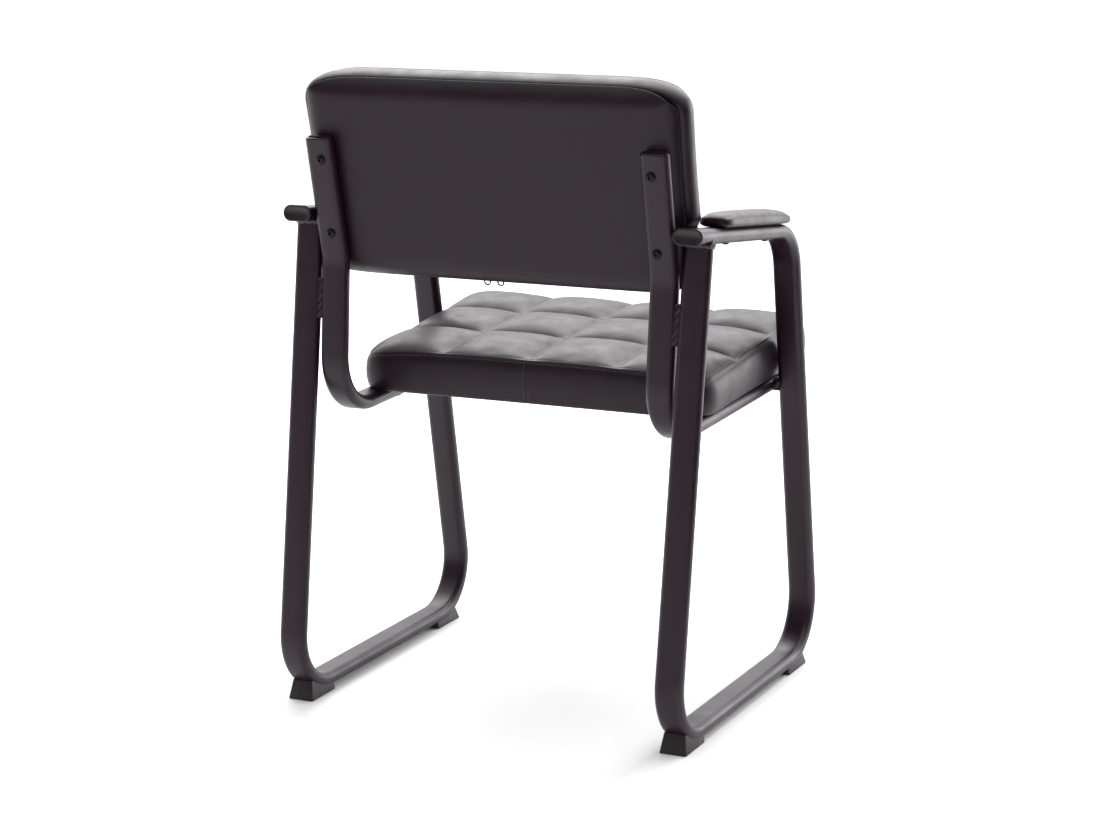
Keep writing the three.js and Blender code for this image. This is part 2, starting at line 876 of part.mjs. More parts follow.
// The arms and the tops of the rear legs press into the sides of the back
function pressed_by_arms(geometry) {
  const to_back = back_group.matrix.clone().invert();
  const bars = [];
  for (const [, side] of sides) {
    for (const line of [arm_line, leg_line]) {
      bars.push(on_side(oval_bar(line, rest_gap), side, 0).applyMatrix4(to_back));
    }
  }
  return cut(geometry, bars);
}

function make_back() {
  const across = column_lines(back_width);
  const row_lines = [-back_height / 2, back_height / 2 - back_tile_height, back_height / 2];
  const columns = spread(across.map((x) => x * 2 / back_width), [tile_cells]);
  const rows = spread(row_lines.map((y) => y * 2 / back_height), [tile_cells]);
  const border = plan_border(rounded_plan(back_plan), columns, rows);
  const board_outline = inset_outline(back_plan, back_board_inset);

  const padding = cushion(back_plan, columns, rows, (u, v, point) => {
    const tile = pillow(between(across, point.x), between(row_lines, point.y));
    return back_boxing + back_crown * edge_share(u, v) + back_tile_rise * tile;
  });
  const pressed = pressed_by_arms(upright_on_back(padding, back_cushion_face));
  add_piece(back_group, 'back_cushion', pressed, black_leather());

  const rolled = roll_shares.map(([inset_share, depth_share]) => {
    return at_level(outset(border, -inset_share * back_roll_width), depth_share * back_panel_depth);
  });
  const panel = stacked([...rolled, at_level(border, back_panel_depth)]);
  const pocket = flat_board(outset(board_outline, rest_gap), back_panel_depth);
  const places = [];
  for (const [, side] of sides) {
    for (const place of back_screw_places) {
      const height = rail_top_height - place;
      places.push(new THREE.Vector3(side * (rail_x(height) - back_screw_inset), 0, -place));
    }
  }
  const hole_width = back_screw.shank + hole_clearance * 2;
  const panel_holes = places.map(({ x, z }) => {
    return rod(hole_width, -cut_overrun, back_panel_depth).translate(x, z - back_centre, 0);
  });
  const tray = cut(panel, [pocket.translate(0, 0, back_panel_padding), ...panel_holes]);
  const pressed_panel = pressed_by_arms(upright_on_back(tray, back_panel_face));
  add_piece(back_group, 'back_rear_panel', pressed_panel, black_leather());

  const board = flat_board(board_outline, back_board_thickness);
  const nut_holes = places.map(({ x, z }) => {
    const hole = tee_nut_hole(back_nut, back_board_thickness);
    return hole.translate(x, z - back_centre, back_board_thickness);
  });
  add_piece(back_group, 'back_board', upright_on_back(cut(board, nut_holes), back_board_face), plywood());

  const screw_base = tube_radius + rest_gap;
  const nut_face = back_board_face + back_board_thickness;
  const screw_length = screw_base + nut_face - screw_end_gap;
  const names = ['left_upper', 'left_lower', 'right_upper', 'right_lower'];
  places.forEach(({ x, z }, i) => {
    const screw = socket_screw(back_screw, screw_length).rotateX(half_turn / 2);
    add_piece(back_group, `${names[i]}_back_screw`, screw.translate(x, screw_base, z), black_steel());
    const nut = tee_nut(back_nut, back_screw.shank).rotateX(half_turn / 2);
    add_piece(back_group, `${names[i]}_back_tee_nut`, nut.translate(x, -nut_face, z), zinc_steel());
  });

  const staple_depth = back_panel_face + back_panel_depth - staple_wire;
  const staple_top = back_centre - back_height / 2 - rest_gap;
  const staple_foot = staple_top - staple_drop;
  staple_places.forEach((place, i) => {
    const reach = staple_width / 2;
    const line = new BentLine([
      new THREE.Vector3(place - reach, -staple_depth, staple_top),
      new THREE.Vector3(place - reach, -staple_depth, staple_foot),
      new THREE.Vector3(place + reach, -staple_depth, staple_foot),
      new THREE.Vector3(place + reach, -staple_depth, staple_top),
    ], [staple_bend, staple_bend]);
    const section = new THREE.Shape().absarc(0, 0, staple_wire / 2, 0, half_turn * 2, false);
    const wire = new THREE.ExtrudeGeometry(section, {
      steps: line.steps, extrudePath: line, curveSegments: wire_steps / 2,
    });
    add_piece(back_group, `cover_staple_${i + 1}`, wire, zinc_steel());
  });
  return places.map(({ x, z }) => {
    const hole = rod(hole_width, -tube_depth - cut_overrun, tube_depth + cut_overrun);
    return hole.rotateX(half_turn / 2).translate(x, 0, z).applyMatrix4(back_group.matrix);
  });
}

// Arm pads, laid out from the middle of the pad, z = 0 on top of the arm

function make_arm_pad(name, side) {
  const arm_top = { point: raised(arm.point, arm, tube_radius), direction: arm.direction };
  const back_depth = back_cushion_face + back_boxing;
  const back_front = { point: raised(rail_top, rail_upper, -back_depth), direction: rail_upper.direction };
  const face = crossing(arm_top, back_front).addScaledVector(arm.direction, pad_gap + pad_length / 2);
  face.x = side * loop_x(face.z);
  const group = turned_group(face, arm_angle);
  const plan = {
    width: pad_width,
    length: pad_length,
    corner: pad_corner,
    side_draw: 0,
    end_draw: 0,
    side_bulge: pad_wall_bulge,
    end_bulge: pad_wall_bulge,
    foot: pad_belly_inset,
    walls: pad_wall_shares,
  };
  const columns = spread([-1, 0, 1], [pad_cells]);
  const rows = spread([-1, 0, 1], [tile_cells]);
  const pad = cushion(plan, columns, rows, (u, v) => {
    return pad_seam_height + pad_crown * (1 - u ** pad_side_power) * (1 - v ** pad_end_power);
  });
  const board = new THREE.BoxGeometry(pad_board_width, pad_board_length, pad_board_thickness);
  const pocket = new THREE.BoxGeometry(
    pad_board_width + rest_gap * 2,
    pad_board_length + rest_gap * 2,
    pad_board_thickness + rest_gap + cut_overrun,
  );
  pocket.translate(0, 0, (pad_board_thickness + rest_gap - cut_overrun) / 2);
  const padding = cut(pad, [pocket]).translate(0, 0, rest_gap);
  add_piece(group, `${name}_arm_pad`, padding, black_leather());

  const places = [pad_screw_spacing / 2, -pad_screw_spacing / 2];
  const screw_base = -tube_depth - rest_gap;
  const board_top = rest_gap + pad_board_thickness;
  const hole_width = pad_screw.shank + rest_gap * 2;
  board.translate(0, 0, rest_gap + pad_board_thickness / 2);
  const board_hole = rod(hole_width, -cut_overrun, board_top + cut_overrun);
  const board_holes = places.map((y) => board_hole.clone().translate(0, y, 0));
  add_piece(group, `${name}_arm_pad_board`, cut(board, board_holes), plywood());
  ['rear', 'front'].forEach((place, i) => {
    const screw = socket_screw(pad_screw, board_top - screw_end_gap - screw_base);
    screw.translate(0, places[i], screw_base);
    add_piece(group, `${name}_${place}_arm_pad_screw`, screw, black_steel());
  });
  chair.add(group);
  return places.map((y) => {
    const hole = rod(pad_screw.shank + hole_clearance * 2, screw_base - cut_overrun, cut_overrun);
    return hole.translate(0, y, 0).applyMatrix4(group.matrix);
  });
}

const seat_holes = make_seat();
const back_holes = make_back();
chair.add(seat_group, back_group);

for (const [name, side] of sides) {
  const pad_holes = make_arm_pad(name, side);
  const own_side = (hole) => {
    hole.computeBoundingBox();
    return hole.boundingBox.max.x * side > 0;
  };
  const rail_holes = [...seat_holes, ...back_holes].filter(own_side);
  add_piece(chair, `${name}_side_loop`, side_loop(side, pad_holes), enamelled_steel());
  add_piece(chair, `${name}_seat_back_rail`, rail(side, rail_holes), enamelled_steel());

  const rear_block = { length: rear_block_length, depth: rear_block_depth };
  const rear_block_point = at_height(rear_leg, rear_block_height);
  const rear_filler = block(rear_block, rear_block_point, rear_leg_angle, side);
  add_piece(chair, `${name}_rear_weld_block`, rear_filler, enamelled_steel());
  const front_block = { length: front_block_length, depth: front_block_length };
  const front_filler = block(front_block, seat_rail_cross, 0, side);
  add_piece(chair, `${name}_front_weld_block`, front_filler, enamelled_steel());

  const arm_cap = end_cap(arm_rear_end, arm.direction.clone().negate(), side, 0, arm_cap_rim);
  add_piece(chair, `${name}_arm_end_cap`, arm_cap, black_plastic());
  const top_cap = end_cap(rail_top, rail_upper.direction, side, rail_offset);
  add_piece(chair, `${name}_rail_top_cap`, top_cap, black_plastic());
  const front_cap = end_cap(seat_rail_end, seat_rail.direction, side, rail_offset);
  add_piece(chair, `${name}_rail_front_cap`, front_cap, black_plastic());

  const rear_wedge = glide(rear_glide, rear_foot, rear_foot_bend, rear_leg_angle, 1, side);
  add_piece(chair, `${name}_rear_glide`, rear_wedge, black_plastic());
  const front_wedge = glide(front_glide, front_foot, front_foot_bend, front_leg_angle, -1, side);
  add_piece(chair, `${name}_front_glide`, front_wedge, black_plastic());
}

// The origin is on the floor under the middle of the whole chair
chair.updateMatrixWorld(true);
const extent = new THREE.Box3().setFromObject(chair, true);
const middle = extent.getCenter(new THREE.Vector3());
chair.position.set(-middle.x, -middle.y, -extent.min.z);

export default chair;
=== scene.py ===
# Sled base visitor chair: two closed loops of flat oval tube, two J shaped rails, a quilted seat,
# a padded back and two arm pads.
# +Z is up, +X is the sitter's left, the sitter faces -Y. Lengths are millimetres unless a comment says
# otherwise, and the properties hold metres.

import math
from functools import partial
from itertools import product

import bmesh
import bpy
from bpy.props import FloatProperty, IntProperty, PointerProperty, StringProperty
from bpy.types import Operator, Panel, PropertyGroup
from mathutils import Matrix, Vector
from mathutils.bvhtree import BVHTree


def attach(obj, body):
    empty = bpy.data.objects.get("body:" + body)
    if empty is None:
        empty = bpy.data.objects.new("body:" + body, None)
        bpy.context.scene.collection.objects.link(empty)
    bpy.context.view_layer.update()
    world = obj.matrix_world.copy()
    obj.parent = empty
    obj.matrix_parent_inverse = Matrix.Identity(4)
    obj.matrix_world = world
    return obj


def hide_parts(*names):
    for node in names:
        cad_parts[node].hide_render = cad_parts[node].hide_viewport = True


bl_info = {
    "name": "Sled base visitor chair",
    "version": (1, 0, 0),
    "blender": (4, 5, 0),
    "location": "3D View > Sidebar > Chair",
    "description": "Dresses the frame of a sled base visitor chair with tubes, cushions, seams and finishes",
    "category": "Object",
}

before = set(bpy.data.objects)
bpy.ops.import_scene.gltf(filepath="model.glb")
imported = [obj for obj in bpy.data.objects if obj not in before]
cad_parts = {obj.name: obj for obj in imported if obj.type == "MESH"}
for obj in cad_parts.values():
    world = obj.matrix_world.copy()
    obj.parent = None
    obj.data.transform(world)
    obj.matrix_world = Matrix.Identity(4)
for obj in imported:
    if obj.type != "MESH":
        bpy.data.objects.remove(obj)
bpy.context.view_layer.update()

SIDES = (("left", 1), ("right", -1))
MILLIMETRE = 0.001

# Side view of the tubes' centre lines as (y, z) corners, and the bend radius at each inner corner
LOOP_CORNERS = ((223.912, 646.763), (-101.489, 607.961), (-194.309, 15.9), (289.091, 15.9), (188.165, 642.5))
LOOP_BENDS = (63, 74, 70)
RAIL_CORNERS = ((231.274, 747.2), (199.571, 583.8), (220.146, 384.7), (-175.255, 393.397))
RAIL_BENDS = (80, 68)
LOOP_ANGLE = 0.43
LOOP_X = 269.083
# The solids have the rail 42 further in than the loop, the photo shows a narrower gap beside the leg
RAIL_INSET = 41
RAIL_X = LOOP_X - RAIL_INSET
ARM_TILT = 6.8

# The carried parts' own frames: (x, y, z) of the origin and the tilt about X
SEAT_PLACE = ((0, 220.355, 394.198), -1.26)
BACK_PLACE = ((0, 231.273, 747.2), -10.98)

SEAT_WIDTH, SEAT_LENGTH = 498, 401
# Seams across the seat, from its middle, which lies forward of its frame's origin and above it
SEAT_ROWS = (-152.5, -36.5, 79.5)
SEAT_FORWARD, SEAT_LIFT = 303.5, 3.9
BACK_WIDTH, BACK_HEIGHT = 522, 265
# The crest stands over the rail's top and slopes down to the rear
BACK_ABOVE_RAIL, CREST_SLOPE = 77, 2.5
BACK_MIDDLE = BACK_ABOVE_RAIL - BACK_HEIGHT / 2

# Distances down from the rail's top, forward along the rail and along the arm from the pad's middle
BACK_SCREWS = (("upper", 26.4), ("lower", 125.4))
SEAT_BOLTS = (("rear", 165.9), ("front", 363.3))
PAD_SCREWS = (("rear", 66.5), ("front", -66.5))
# The back screws sit inward of the rail's middle, and every head keeps a gap from the tube
BACK_SCREW_INSET, HEAD_GAP = 3.5, 0.2


# Sizes and colours that a user would change


class ChairSizes(PropertyGroup):
    tube_width: FloatProperty(
        name="Tube width", description="Long side of the flat oval tube", default=0.038, unit="LENGTH")
    tube_depth: FloatProperty(
        name="Tube depth", description="Short side of the flat oval tube", default=0.019, unit="LENGTH")
    seat_tile_rise: FloatProperty(
        name="Seat tile rise", description="How far a sewn seat tile swells", default=0.0115, unit="LENGTH")
    back_tile_rise: FloatProperty(
        name="Back tile rise", description="How far a sewn back tile swells", default=0.008, unit="LENGTH")
    stitch_pitch: FloatProperty(
        name="Stitch pitch", description="Distance from one stitch to the next", default=0.0045, unit="LENGTH")
    thread_width: FloatProperty(
        name="Thread width", description="Thickness of the sewing thread", default=0.0006, unit="LENGTH")
    cloth_pressure: FloatProperty(
        name="Filling pressure", description="Pressure of the filling on the cover", default=4.0)
    cloth_frames: IntProperty(
        name="Filling frames", description="Frames over which the filling swells the cover", default=20,
        subtype="UNSIGNED")


class ChairFinishes(PropertyGroup):
    leather: StringProperty(
        name="Cover colour", description="Colour of the coated cover, as sRGB hex", default="#1D0A17")
    enamel: StringProperty(
        name="Enamel colour", description="Colour of the powder coat, as sRGB hex", default="#1D0519")
    plastic: StringProperty(
        name="Plastic colour", description="Colour of caps and glides, as sRGB hex", default="#160D12")
    thread: StringProperty(
        name="Thread colour", description="Colour of the sewing thread, as sRGB hex", default="#5A5356")
    floor: StringProperty(
        name="Floor colour", description="Colour of the studio floor, as sRGB hex", default="#FBFBFB")
    top_light: FloatProperty(
        name="Top light", description="Power of the large light over the chair", default=160, unit="POWER")
    side_light: FloatProperty(
        name="Side light", description="Power of the light at the chair's right", default=45, unit="POWER")


def mm(value):
    return value * MILLIMETRE


def hex_colour(text):
    """Linear RGBA of an sRGB hex value."""
    parts = [int(text[i:i + 2], 16) / 255 for i in (1, 3, 5)]
    linear = [c / 12.92 if c <= 0.04045 else ((c + 0.055) / 1.055) ** 2.4 for c in parts]
    return (*linear, 1.0)


def scaled(colour, share):
    return (*[c * share for c in colour[:3]], 1.0)


# Materials


def feed(node, inputs):
    """Links a node's inputs, or sets them."""
    for name, value in inputs.items():
        if isinstance(value, bpy.types.NodeSocket):
            node.id_data.links.new(value, node.inputs[name])
        else:
            node.inputs[name].default_value = value


def add_node(tree, kind, output, **given):
    """Adds a node and returns one of its outputs.

    Names in lower case are settings, the others are inputs, with _ for a space.
    """
    node = tree.nodes.new("ShaderNode" + kind)
    for name in filter(str.islower, given):
        setattr(node, name, given[name])
    feed(node, {name.replace("_", " "): value for name, value in given.items() if not name.islower()})
    return node.outputs[output]


def new_material(name):
    """An empty material, the function that adds to its nodes, and the object's own coordinates."""
    material = bpy.data.materials.new(name)
    material.use_nodes = True
    add = partial(add_node, material.node_tree)
    return material, add, add("TexCoord", "Object")


def finished(material, tones, bumps=(), gloss=None, **own):
    """Ends a material, whose own sockets are given by name.

    Tones: a pattern and the colours at its low and its high end.
    Bumps: pattern, height in mm and strength, each laid on the one before.
    Gloss: a pattern, the range of it that counts, and the roughness at both ends.
    """
    add = partial(add_node, material.node_tree)
    sockets = {name.replace("_", " "): value for name, value in own.items()}
    factor, low, high = tones
    sockets["Base Color"] = add("Mix", "Result", data_type="RGBA", Factor=factor, A=low, B=high)
    below = {}
    for height, distance, strength in bumps:
        below["Normal"] = add("Bump", "Normal", Height=height, Distance=mm(distance), Strength=strength, **below)
    sockets.update(below)
    if gloss:
        pattern, start, end, low, high = gloss
        sockets["Roughness"] = add(
            "MapRange", "Result", Value=pattern, From_Min=start, From_Max=end, To_Min=low, To_Max=high)
    feed(material.node_tree.nodes["Principled BSDF"], sockets)
    return material


def per_metre(size_mm):
    """Texture scale whose pattern repeats about every so many millimetres."""
    return 1000.0 / size_mm


def coated_cover(base):
    """Polyurethane coated cover, embossed with a fine pebble grain: a soft broad sheen over near black."""
    material, add, place = new_material("coated_leather_cover")
    # Pebbles of 1.5 mm, a little coarser than the real 0.8 mm grain so that they show
    pebble = add("TexVoronoi", "Distance", feature="SMOOTH_F1", Vector=place, Scale=per_metre(1.5),
                 Smoothness=0.6, Randomness=0.9)
    # Slack in the cover, waves of some 60 mm
    slack = add("TexNoise", "Fac", Vector=place, Scale=per_metre(60), Detail=2.0, Roughness=0.45)
    # Handling marks, soft patches of some 25 mm
    patch = add("TexNoise", "Fac", Vector=place, Scale=per_metre(25), Detail=4.0, Roughness=0.6)
    marks = add("MapRange", "Result", Value=patch, From_Min=0.35, From_Max=0.65)
    worn = add("Mix", "Result", data_type="RGBA", Factor=marks, A=scaled(base, 0.82), B=scaled(base, 1.18))
    # Painted shade: the cover is painted about a third as bright along the seams and the edge seam, where it
    # dips
    sewn = add("Attribute", "Fac", attribute_name="sewn")
    return finished(
        material, (sewn, worn, scaled(base, 0.35)), ((slack, 1.2, 0.5), (pebble, 0.12, 0.35)),
        (patch, 0.3, 0.7, 0.36, 0.5), IOR=1.45, Specular_IOR_Level=0.36, Sheen_Weight=0.04, Sheen_Roughness=0.4)


def powder_coat(base):
    """Satin powder coat baked on steel tube: fine orange peel and a tight highlight on the round edges."""
    material, add, place = new_material("powder_coated_steel")
    # Orange peel of 2.5 mm, coarser than the real 1 mm so that it shows
    peel = add("TexNoise", "Fac", Vector=place, Scale=per_metre(2.5), Detail=2.0, Roughness=0.5)
    # Rubbed patches of some 40 mm
    rub = add("TexNoise", "Fac", Vector=place, Scale=per_metre(40), Detail=5.0, Roughness=0.6)
    return finished(material, (rub, scaled(base, 0.85), scaled(base, 1.2)), ((peel, 0.06, 0.3),),
                    (rub, 0.3, 0.7, 0.34, 0.46), IOR=1.5, Specular_IOR_Level=0.4)


def weld_metal(base):
    """The same coat over a weld bead: ripples of about 2.5 mm show through."""
    material, add, place = new_material("powder_coated_weld")
    ripple = add("TexWave", "Fac", wave_profile="SIN", bands_direction="DIAGONAL", Vector=place,
                 Scale=per_metre(2.5) / (2 * math.pi), Distortion=3.0, Detail=2.0)
    spatter = add("TexNoise", "Fac", Vector=place, Scale=per_metre(4), Detail=3.0)
    return finished(material, (spatter, scaled(base, 0.8), scaled(base, 1.3)),
                    ((ripple, 0.5, 0.7), (spatter, 0.3, 0.5)), Roughness=0.3)


def moulded_plastic(base, name, gloss):
    """Injection moulded plastic with a spark eroded texture, greyer in scuffed patches."""
    material, add, place = new_material(name)
    # Spark erosion grain of 0.9 mm, drawn twice its real size so that it shows
    spark = add("TexNoise", "Fac", Vector=place, Scale=per_metre(0.9), Detail=2.0, Roughness=0.7)
    scuff = add("TexNoise", "Fac", Vector=place, Scale=per_metre(12), Detail=5.0, Roughness=0.65)
    return finished(material, (scuff, base, scaled(base, 1.7)), ((spark, 0.05, 0.3),),
                    (scuff, 0.3, 0.7, gloss - 0.06, gloss + 0.1), IOR=1.49)


def metal(base, name, roughness, streak_mm):
    """Plated or blackened steel: streaked by handling, with patches where the finish is duller."""
    material, add, place = new_material(name)
    streak = add("TexNoise", "Fac", Vector=place, Scale=per_metre(streak_mm), Detail=4.0, Roughness=0.6)
    return finished(material, (streak, scaled(base, 0.8), scaled(base, 1.15)), ((streak, 0.03, 0.3),),
                    (streak, 0.0, 1.0, roughness * 0.8, roughness * 1.25), Metallic=1.0)


def plywood(dark):
    """Rotary cut birch plywood: long pale grain, open pores, no varnish."""
    material, add, place = new_material("birch_plywood")
    along = add("Mapping", "Vector", Vector=place, Scale=(1.0, 8.0, 8.0))
    grain = add("TexNoise", "Fac", Vector=along, Scale=per_metre(30), Detail=6.0, Distortion=0.6)
    return finished(material, (grain, hex_colour("#C9A877"), dark), ((grain, 0.1, 0.4),), Roughness=0.75)


def lining(grey):
    """Spun bonded polypropylene lining: dull black felt pressed in small diamonds."""
    material, add, place = new_material("spun_bonded_lining")
    diamond = add("TexVoronoi", "Distance", distance="MANHATTAN", Vector=place, Scale=per_metre(2.2),
                  Randomness=0.15)
    fibre = add("TexNoise", "Fac", Vector=place, Scale=per_metre(1.4), Detail=6.0, Roughness=0.8)
    return finished(material, (fibre, hex_colour("#121213"), grey), ((diamond, 0.2, 0.6), (fibre, 0.1, 0.4)),
                    Roughness=0.95)


def sewing_thread(base):
    """Bonded polyester thread of three plies: a soft gloss, and bands along a fine twist painted lighter and
    darker as highlight and shade on the plies.
    """
    material, add, place = new_material("bonded_polyester_thread")
    twist = add("TexWave", "Fac", bands_direction="DIAGONAL", Vector=place,
                Scale=per_metre(0.8) / (2 * math.pi))
    # Painted highlight and shade: the twist's bands run from three quarters to 1.3 times the thread's colour
    return finished(material, (twist, scaled(base, 0.75), scaled(base, 1.3)), ((twist, 0.1, 0.4),),
                    Roughness=0.5)


def studio_paint(base):
    """Matt paint of the studio floor, faintly mottled by the roller."""
    material, add, place = new_material("painted_studio_floor")
    mottle = add("TexNoise", "Fac", Vector=place, Scale=per_metre(300), Detail=3.0)
    return finished(material, (mottle, scaled(base, 0.98), base), Roughness=0.9)


FINISHES = {}


def finish_of(kind):
    """The shared material of one kind, made when it is first asked for."""
    if kind not in FINISHES:
        own = bpy.context.scene.chair_finishes
        makers = {
            "cover": (coated_cover, own.leather),
            "enamel": (powder_coat, own.enamel),
            "weld": (weld_metal, own.enamel),
            "plastic": (moulded_plastic, own.plastic, "moulded_polypropylene", 0.5),
            "cap_plastic": (moulded_plastic, own.plastic, "moulded_polyethylene", 0.3),
            "black_screw": (metal, "#2A2829", "black_oxide_steel", 0.38, 6),
            "zinc": (metal, "#B9BABB", "zinc_plated_steel", 0.32, 9),
            "plywood": (plywood, "#A77F50"),
            "lining": (lining, "#232324"),
            "thread": (sewing_thread, own.thread),
            "floor": (studio_paint, own.floor),
        }
        maker, colour, *others = makers[kind]
        FINISHES[kind] = maker(hex_colour(colour), *others)
    return FINISHES[kind]


def paint_nodes(kind, *names):
    """Gives carried over solids their finish."""
    for name in names:
        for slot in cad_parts[name].material_slots:
            slot.link = "OBJECT"
            slot.material = finish_of(kind)


def paint_both_sides(kind, *names):
    for side_name, _ in SIDES:
        paint_nodes(kind, *(f"{side_name}_{name}" for name in names))


# Modelling helpers


def deselect():
    if bpy.context.object and bpy.context.object.mode != "OBJECT":
        bpy.ops.object.mode_set(mode="OBJECT")
    bpy.ops.object.select_all(action="DESELECT")


def pick(piece):
    deselect()
    piece.select_set(True)
    bpy.context.view_layer.objects.active = piece


def newest(name):
    """The piece that was just added, named."""
    piece = bpy.context.object
    piece.name = piece.data.name = name
    return piece


def select_everything():
    bpy.ops.mesh.select_all(action="SELECT")


def edit(piece):
    """Opens a piece in edit mode, selected all over."""
    pick(piece)
    bpy.ops.object.mode_set(mode="EDIT")
    bpy.ops.mesh.select_mode(type="VERT")
    select_everything()


def leave_edit():
    bpy.ops.object.mode_set(mode="OBJECT")


def choose(test, kind="VERT"):
    """Selects the corners or faces that pass a test, in edit mode."""
    bpy.ops.mesh.select_mode(type=kind)
    bpy.ops.mesh.select_all(action="DESELECT")
    mesh = bpy.context.object.data
    shaped = bmesh.from_edit_mesh(mesh)
    for part in shaped.faces if kind == "FACE" else shaped.verts:
        part.select_set(test(part))
    shaped.select_flush_mode()
    bmesh.update_edit_mesh(mesh)


def shift(vector):
    bpy.ops.transform.translate(value=vector)


def extrude(vector):
    bpy.ops.mesh.extrude_region_move(TRANSFORM_OT_translate={"value": vector})


def settle(piece):
    """Puts the object at the origin with its place in its mesh."""
    pick(piece)
    bpy.ops.object.transform_apply(location=True, rotation=True, scale=True)


def move(piece, place, turn=(0, 0, 0)):
    """Turns a piece by degrees, moves it by millimetres and settles it there."""
    piece.location = [mm(c) for c in place]
    piece.rotation_euler = [math.radians(angle) for angle in turn]
    settle(piece)


def put(piece, place, tilt):
    """Moves a piece drawn in a carried part's frame into the chair's."""
    move(piece, place, (tilt, 0, 0))


def modify(piece, kind, **settings):
    """Adds a modifier and applies it."""
    pick(piece)
    modifier = piece.modifiers.new(kind.title(), kind)
    for name, value in settings.items():
        setattr(modifier, name, value)
    bpy.ops.object.modifier_apply(modifier=modifier.name)


def smooth(piece, degrees):
    pick(piece)
    bpy.ops.object.shade_smooth_by_angle(angle=math.radians(degrees))


def outward(piece):
    """Merges doubles and turns all faces outward."""
    edit(piece)
    bpy.ops.mesh.remove_doubles(threshold=0.00001)
    bpy.ops.mesh.normals_make_consistent(inside=False)
    leave_edit()


def twin(piece, name):
    """A copy with its own mesh."""
    pick(piece)
    bpy.ops.object.duplicate()
    return newest(name)


def both_sides(pattern, name):
    """The pattern and a copy of it, named for their sides, with each side's name and sign."""
    for (side_name, side), piece in zip(SIDES, (pattern, twin(pattern, name))):
        piece.name = piece.data.name = f"{side_name}_{name}"
        yield side_name, side, piece


def carry(piece, kind, slot, *replaced):
    """Finish, record slot (not used), the body that carries the piece and the solids that it stands for."""
    piece.data.materials.clear()
    piece.data.materials.append(finish_of(kind))
    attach(piece, "root")
    if replaced:
        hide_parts(*replaced)


def lean_out(piece, side, x_at_floor):
    """Moves a piece drawn in the plane x = 0 to its side, leaning outward with the loop."""
    move(piece, (side * x_at_floor, 0, 0), (0, side * LOOP_ANGLE, 0))


def loop_x(height):
    return LOOP_X + math.tan(math.radians(LOOP_ANGLE)) * height


def rail_x(height):
    return loop_x(height) - RAIL_INSET


def pad_place(side):
    """Frame of the arm pad of one side."""
    return (side * 273.842, 37.303, 634.078), ARM_TILT


# Tubes


def oval_ring(name, width, depth, sides=48):
    """Flat oval ring round the Z axis, its long side along X. Sizes in metres."""
    deselect()
    bpy.ops.mesh.primitive_circle_add(vertices=sides, radius=depth / 2, rotation=(0, 0, math.pi / sides))
    ring = newest(name)
    settle(ring)
    edit(ring)
    reach = (width - depth) / 2
    for side in (1, -1):
        choose(lambda corner: corner.co.x * side > 0)
        shift((side * reach, 0, 0))
    leave_edit()
    return ring


def heading_of(start, end):
    """Direction from one (y, z) point of the side view to another."""
    return Vector((0, end[0] - start[0], end[1] - start[1])).normalized()


def aim(ring, start, heading):
    """Turns a ring about X so that its axis follows a heading in the side view."""
    ring.location = start
    ring.rotation_euler = (math.atan2(-heading.y, heading.z), 0, 0)
    settle(ring)


def sweep(name, corners, bends, width, depth):
    """Tube drawn in the plane x = 0 along straight runs and round bends."""
    points = [Vector((0, mm(y), mm(z))) for y, z in corners]
    runs = [(b - a).normalized() for a, b in zip(points, points[1:])]
    tube = oval_ring(name, width, depth)
    aim(tube, points[0], runs[0])
    edit(tube)
    here = points[0]
    for i, bend in enumerate(map(mm, bends)):
        turn = runs[i].angle(runs[i + 1])
        start = points[i + 1] - runs[i] * bend * math.tan(turn / 2)
        extrude(start - here)
        axis = runs[i].cross(runs[i + 1]).normalized()
        centre = start + axis.cross(runs[i]) * bend
        # A ring about every 5 degrees
        steps = max(6, math.ceil(math.degrees(turn) / 5))
        bpy.ops.mesh.spin(steps=steps, angle=-turn, center=centre, axis=axis)
        here = points[i + 1] + runs[i + 1] * bend * math.tan(turn / 2)
    extrude(points[-1] - here)
    select_everything()
    bpy.ops.mesh.fill_holes(sides=0)
    leave_edit()
    outward(tube)
    smooth(tube, 30)
    return tube


class CHAIR_OT_tubes(Operator):
    """Sweeps the side loops and the seat and back rails from flat oval steel tube"""

    bl_idname = "chair.tubes"
    bl_label = "Side loops and rails"

    def execute(self, context):
        sizes = context.scene.chair_sizes
        runs = (
            ("side_loop_tube", LOOP_CORNERS, LOOP_BENDS, LOOP_X, "side_loop"),
            ("rail_tube", RAIL_CORNERS, RAIL_BENDS, RAIL_X, "seat_back_rail"),
        )
        for name, corners, bends, x_at_floor, node in runs:
            pattern = sweep(name, corners, bends, sizes.tube_width, sizes.tube_depth)
            for side_name, side, piece in both_sides(pattern, name):
                lean_out(piece, side, x_at_floor)
                carry(piece, "enamel", "frame", f"{side_name}_{node}")
        return {"FINISHED"}


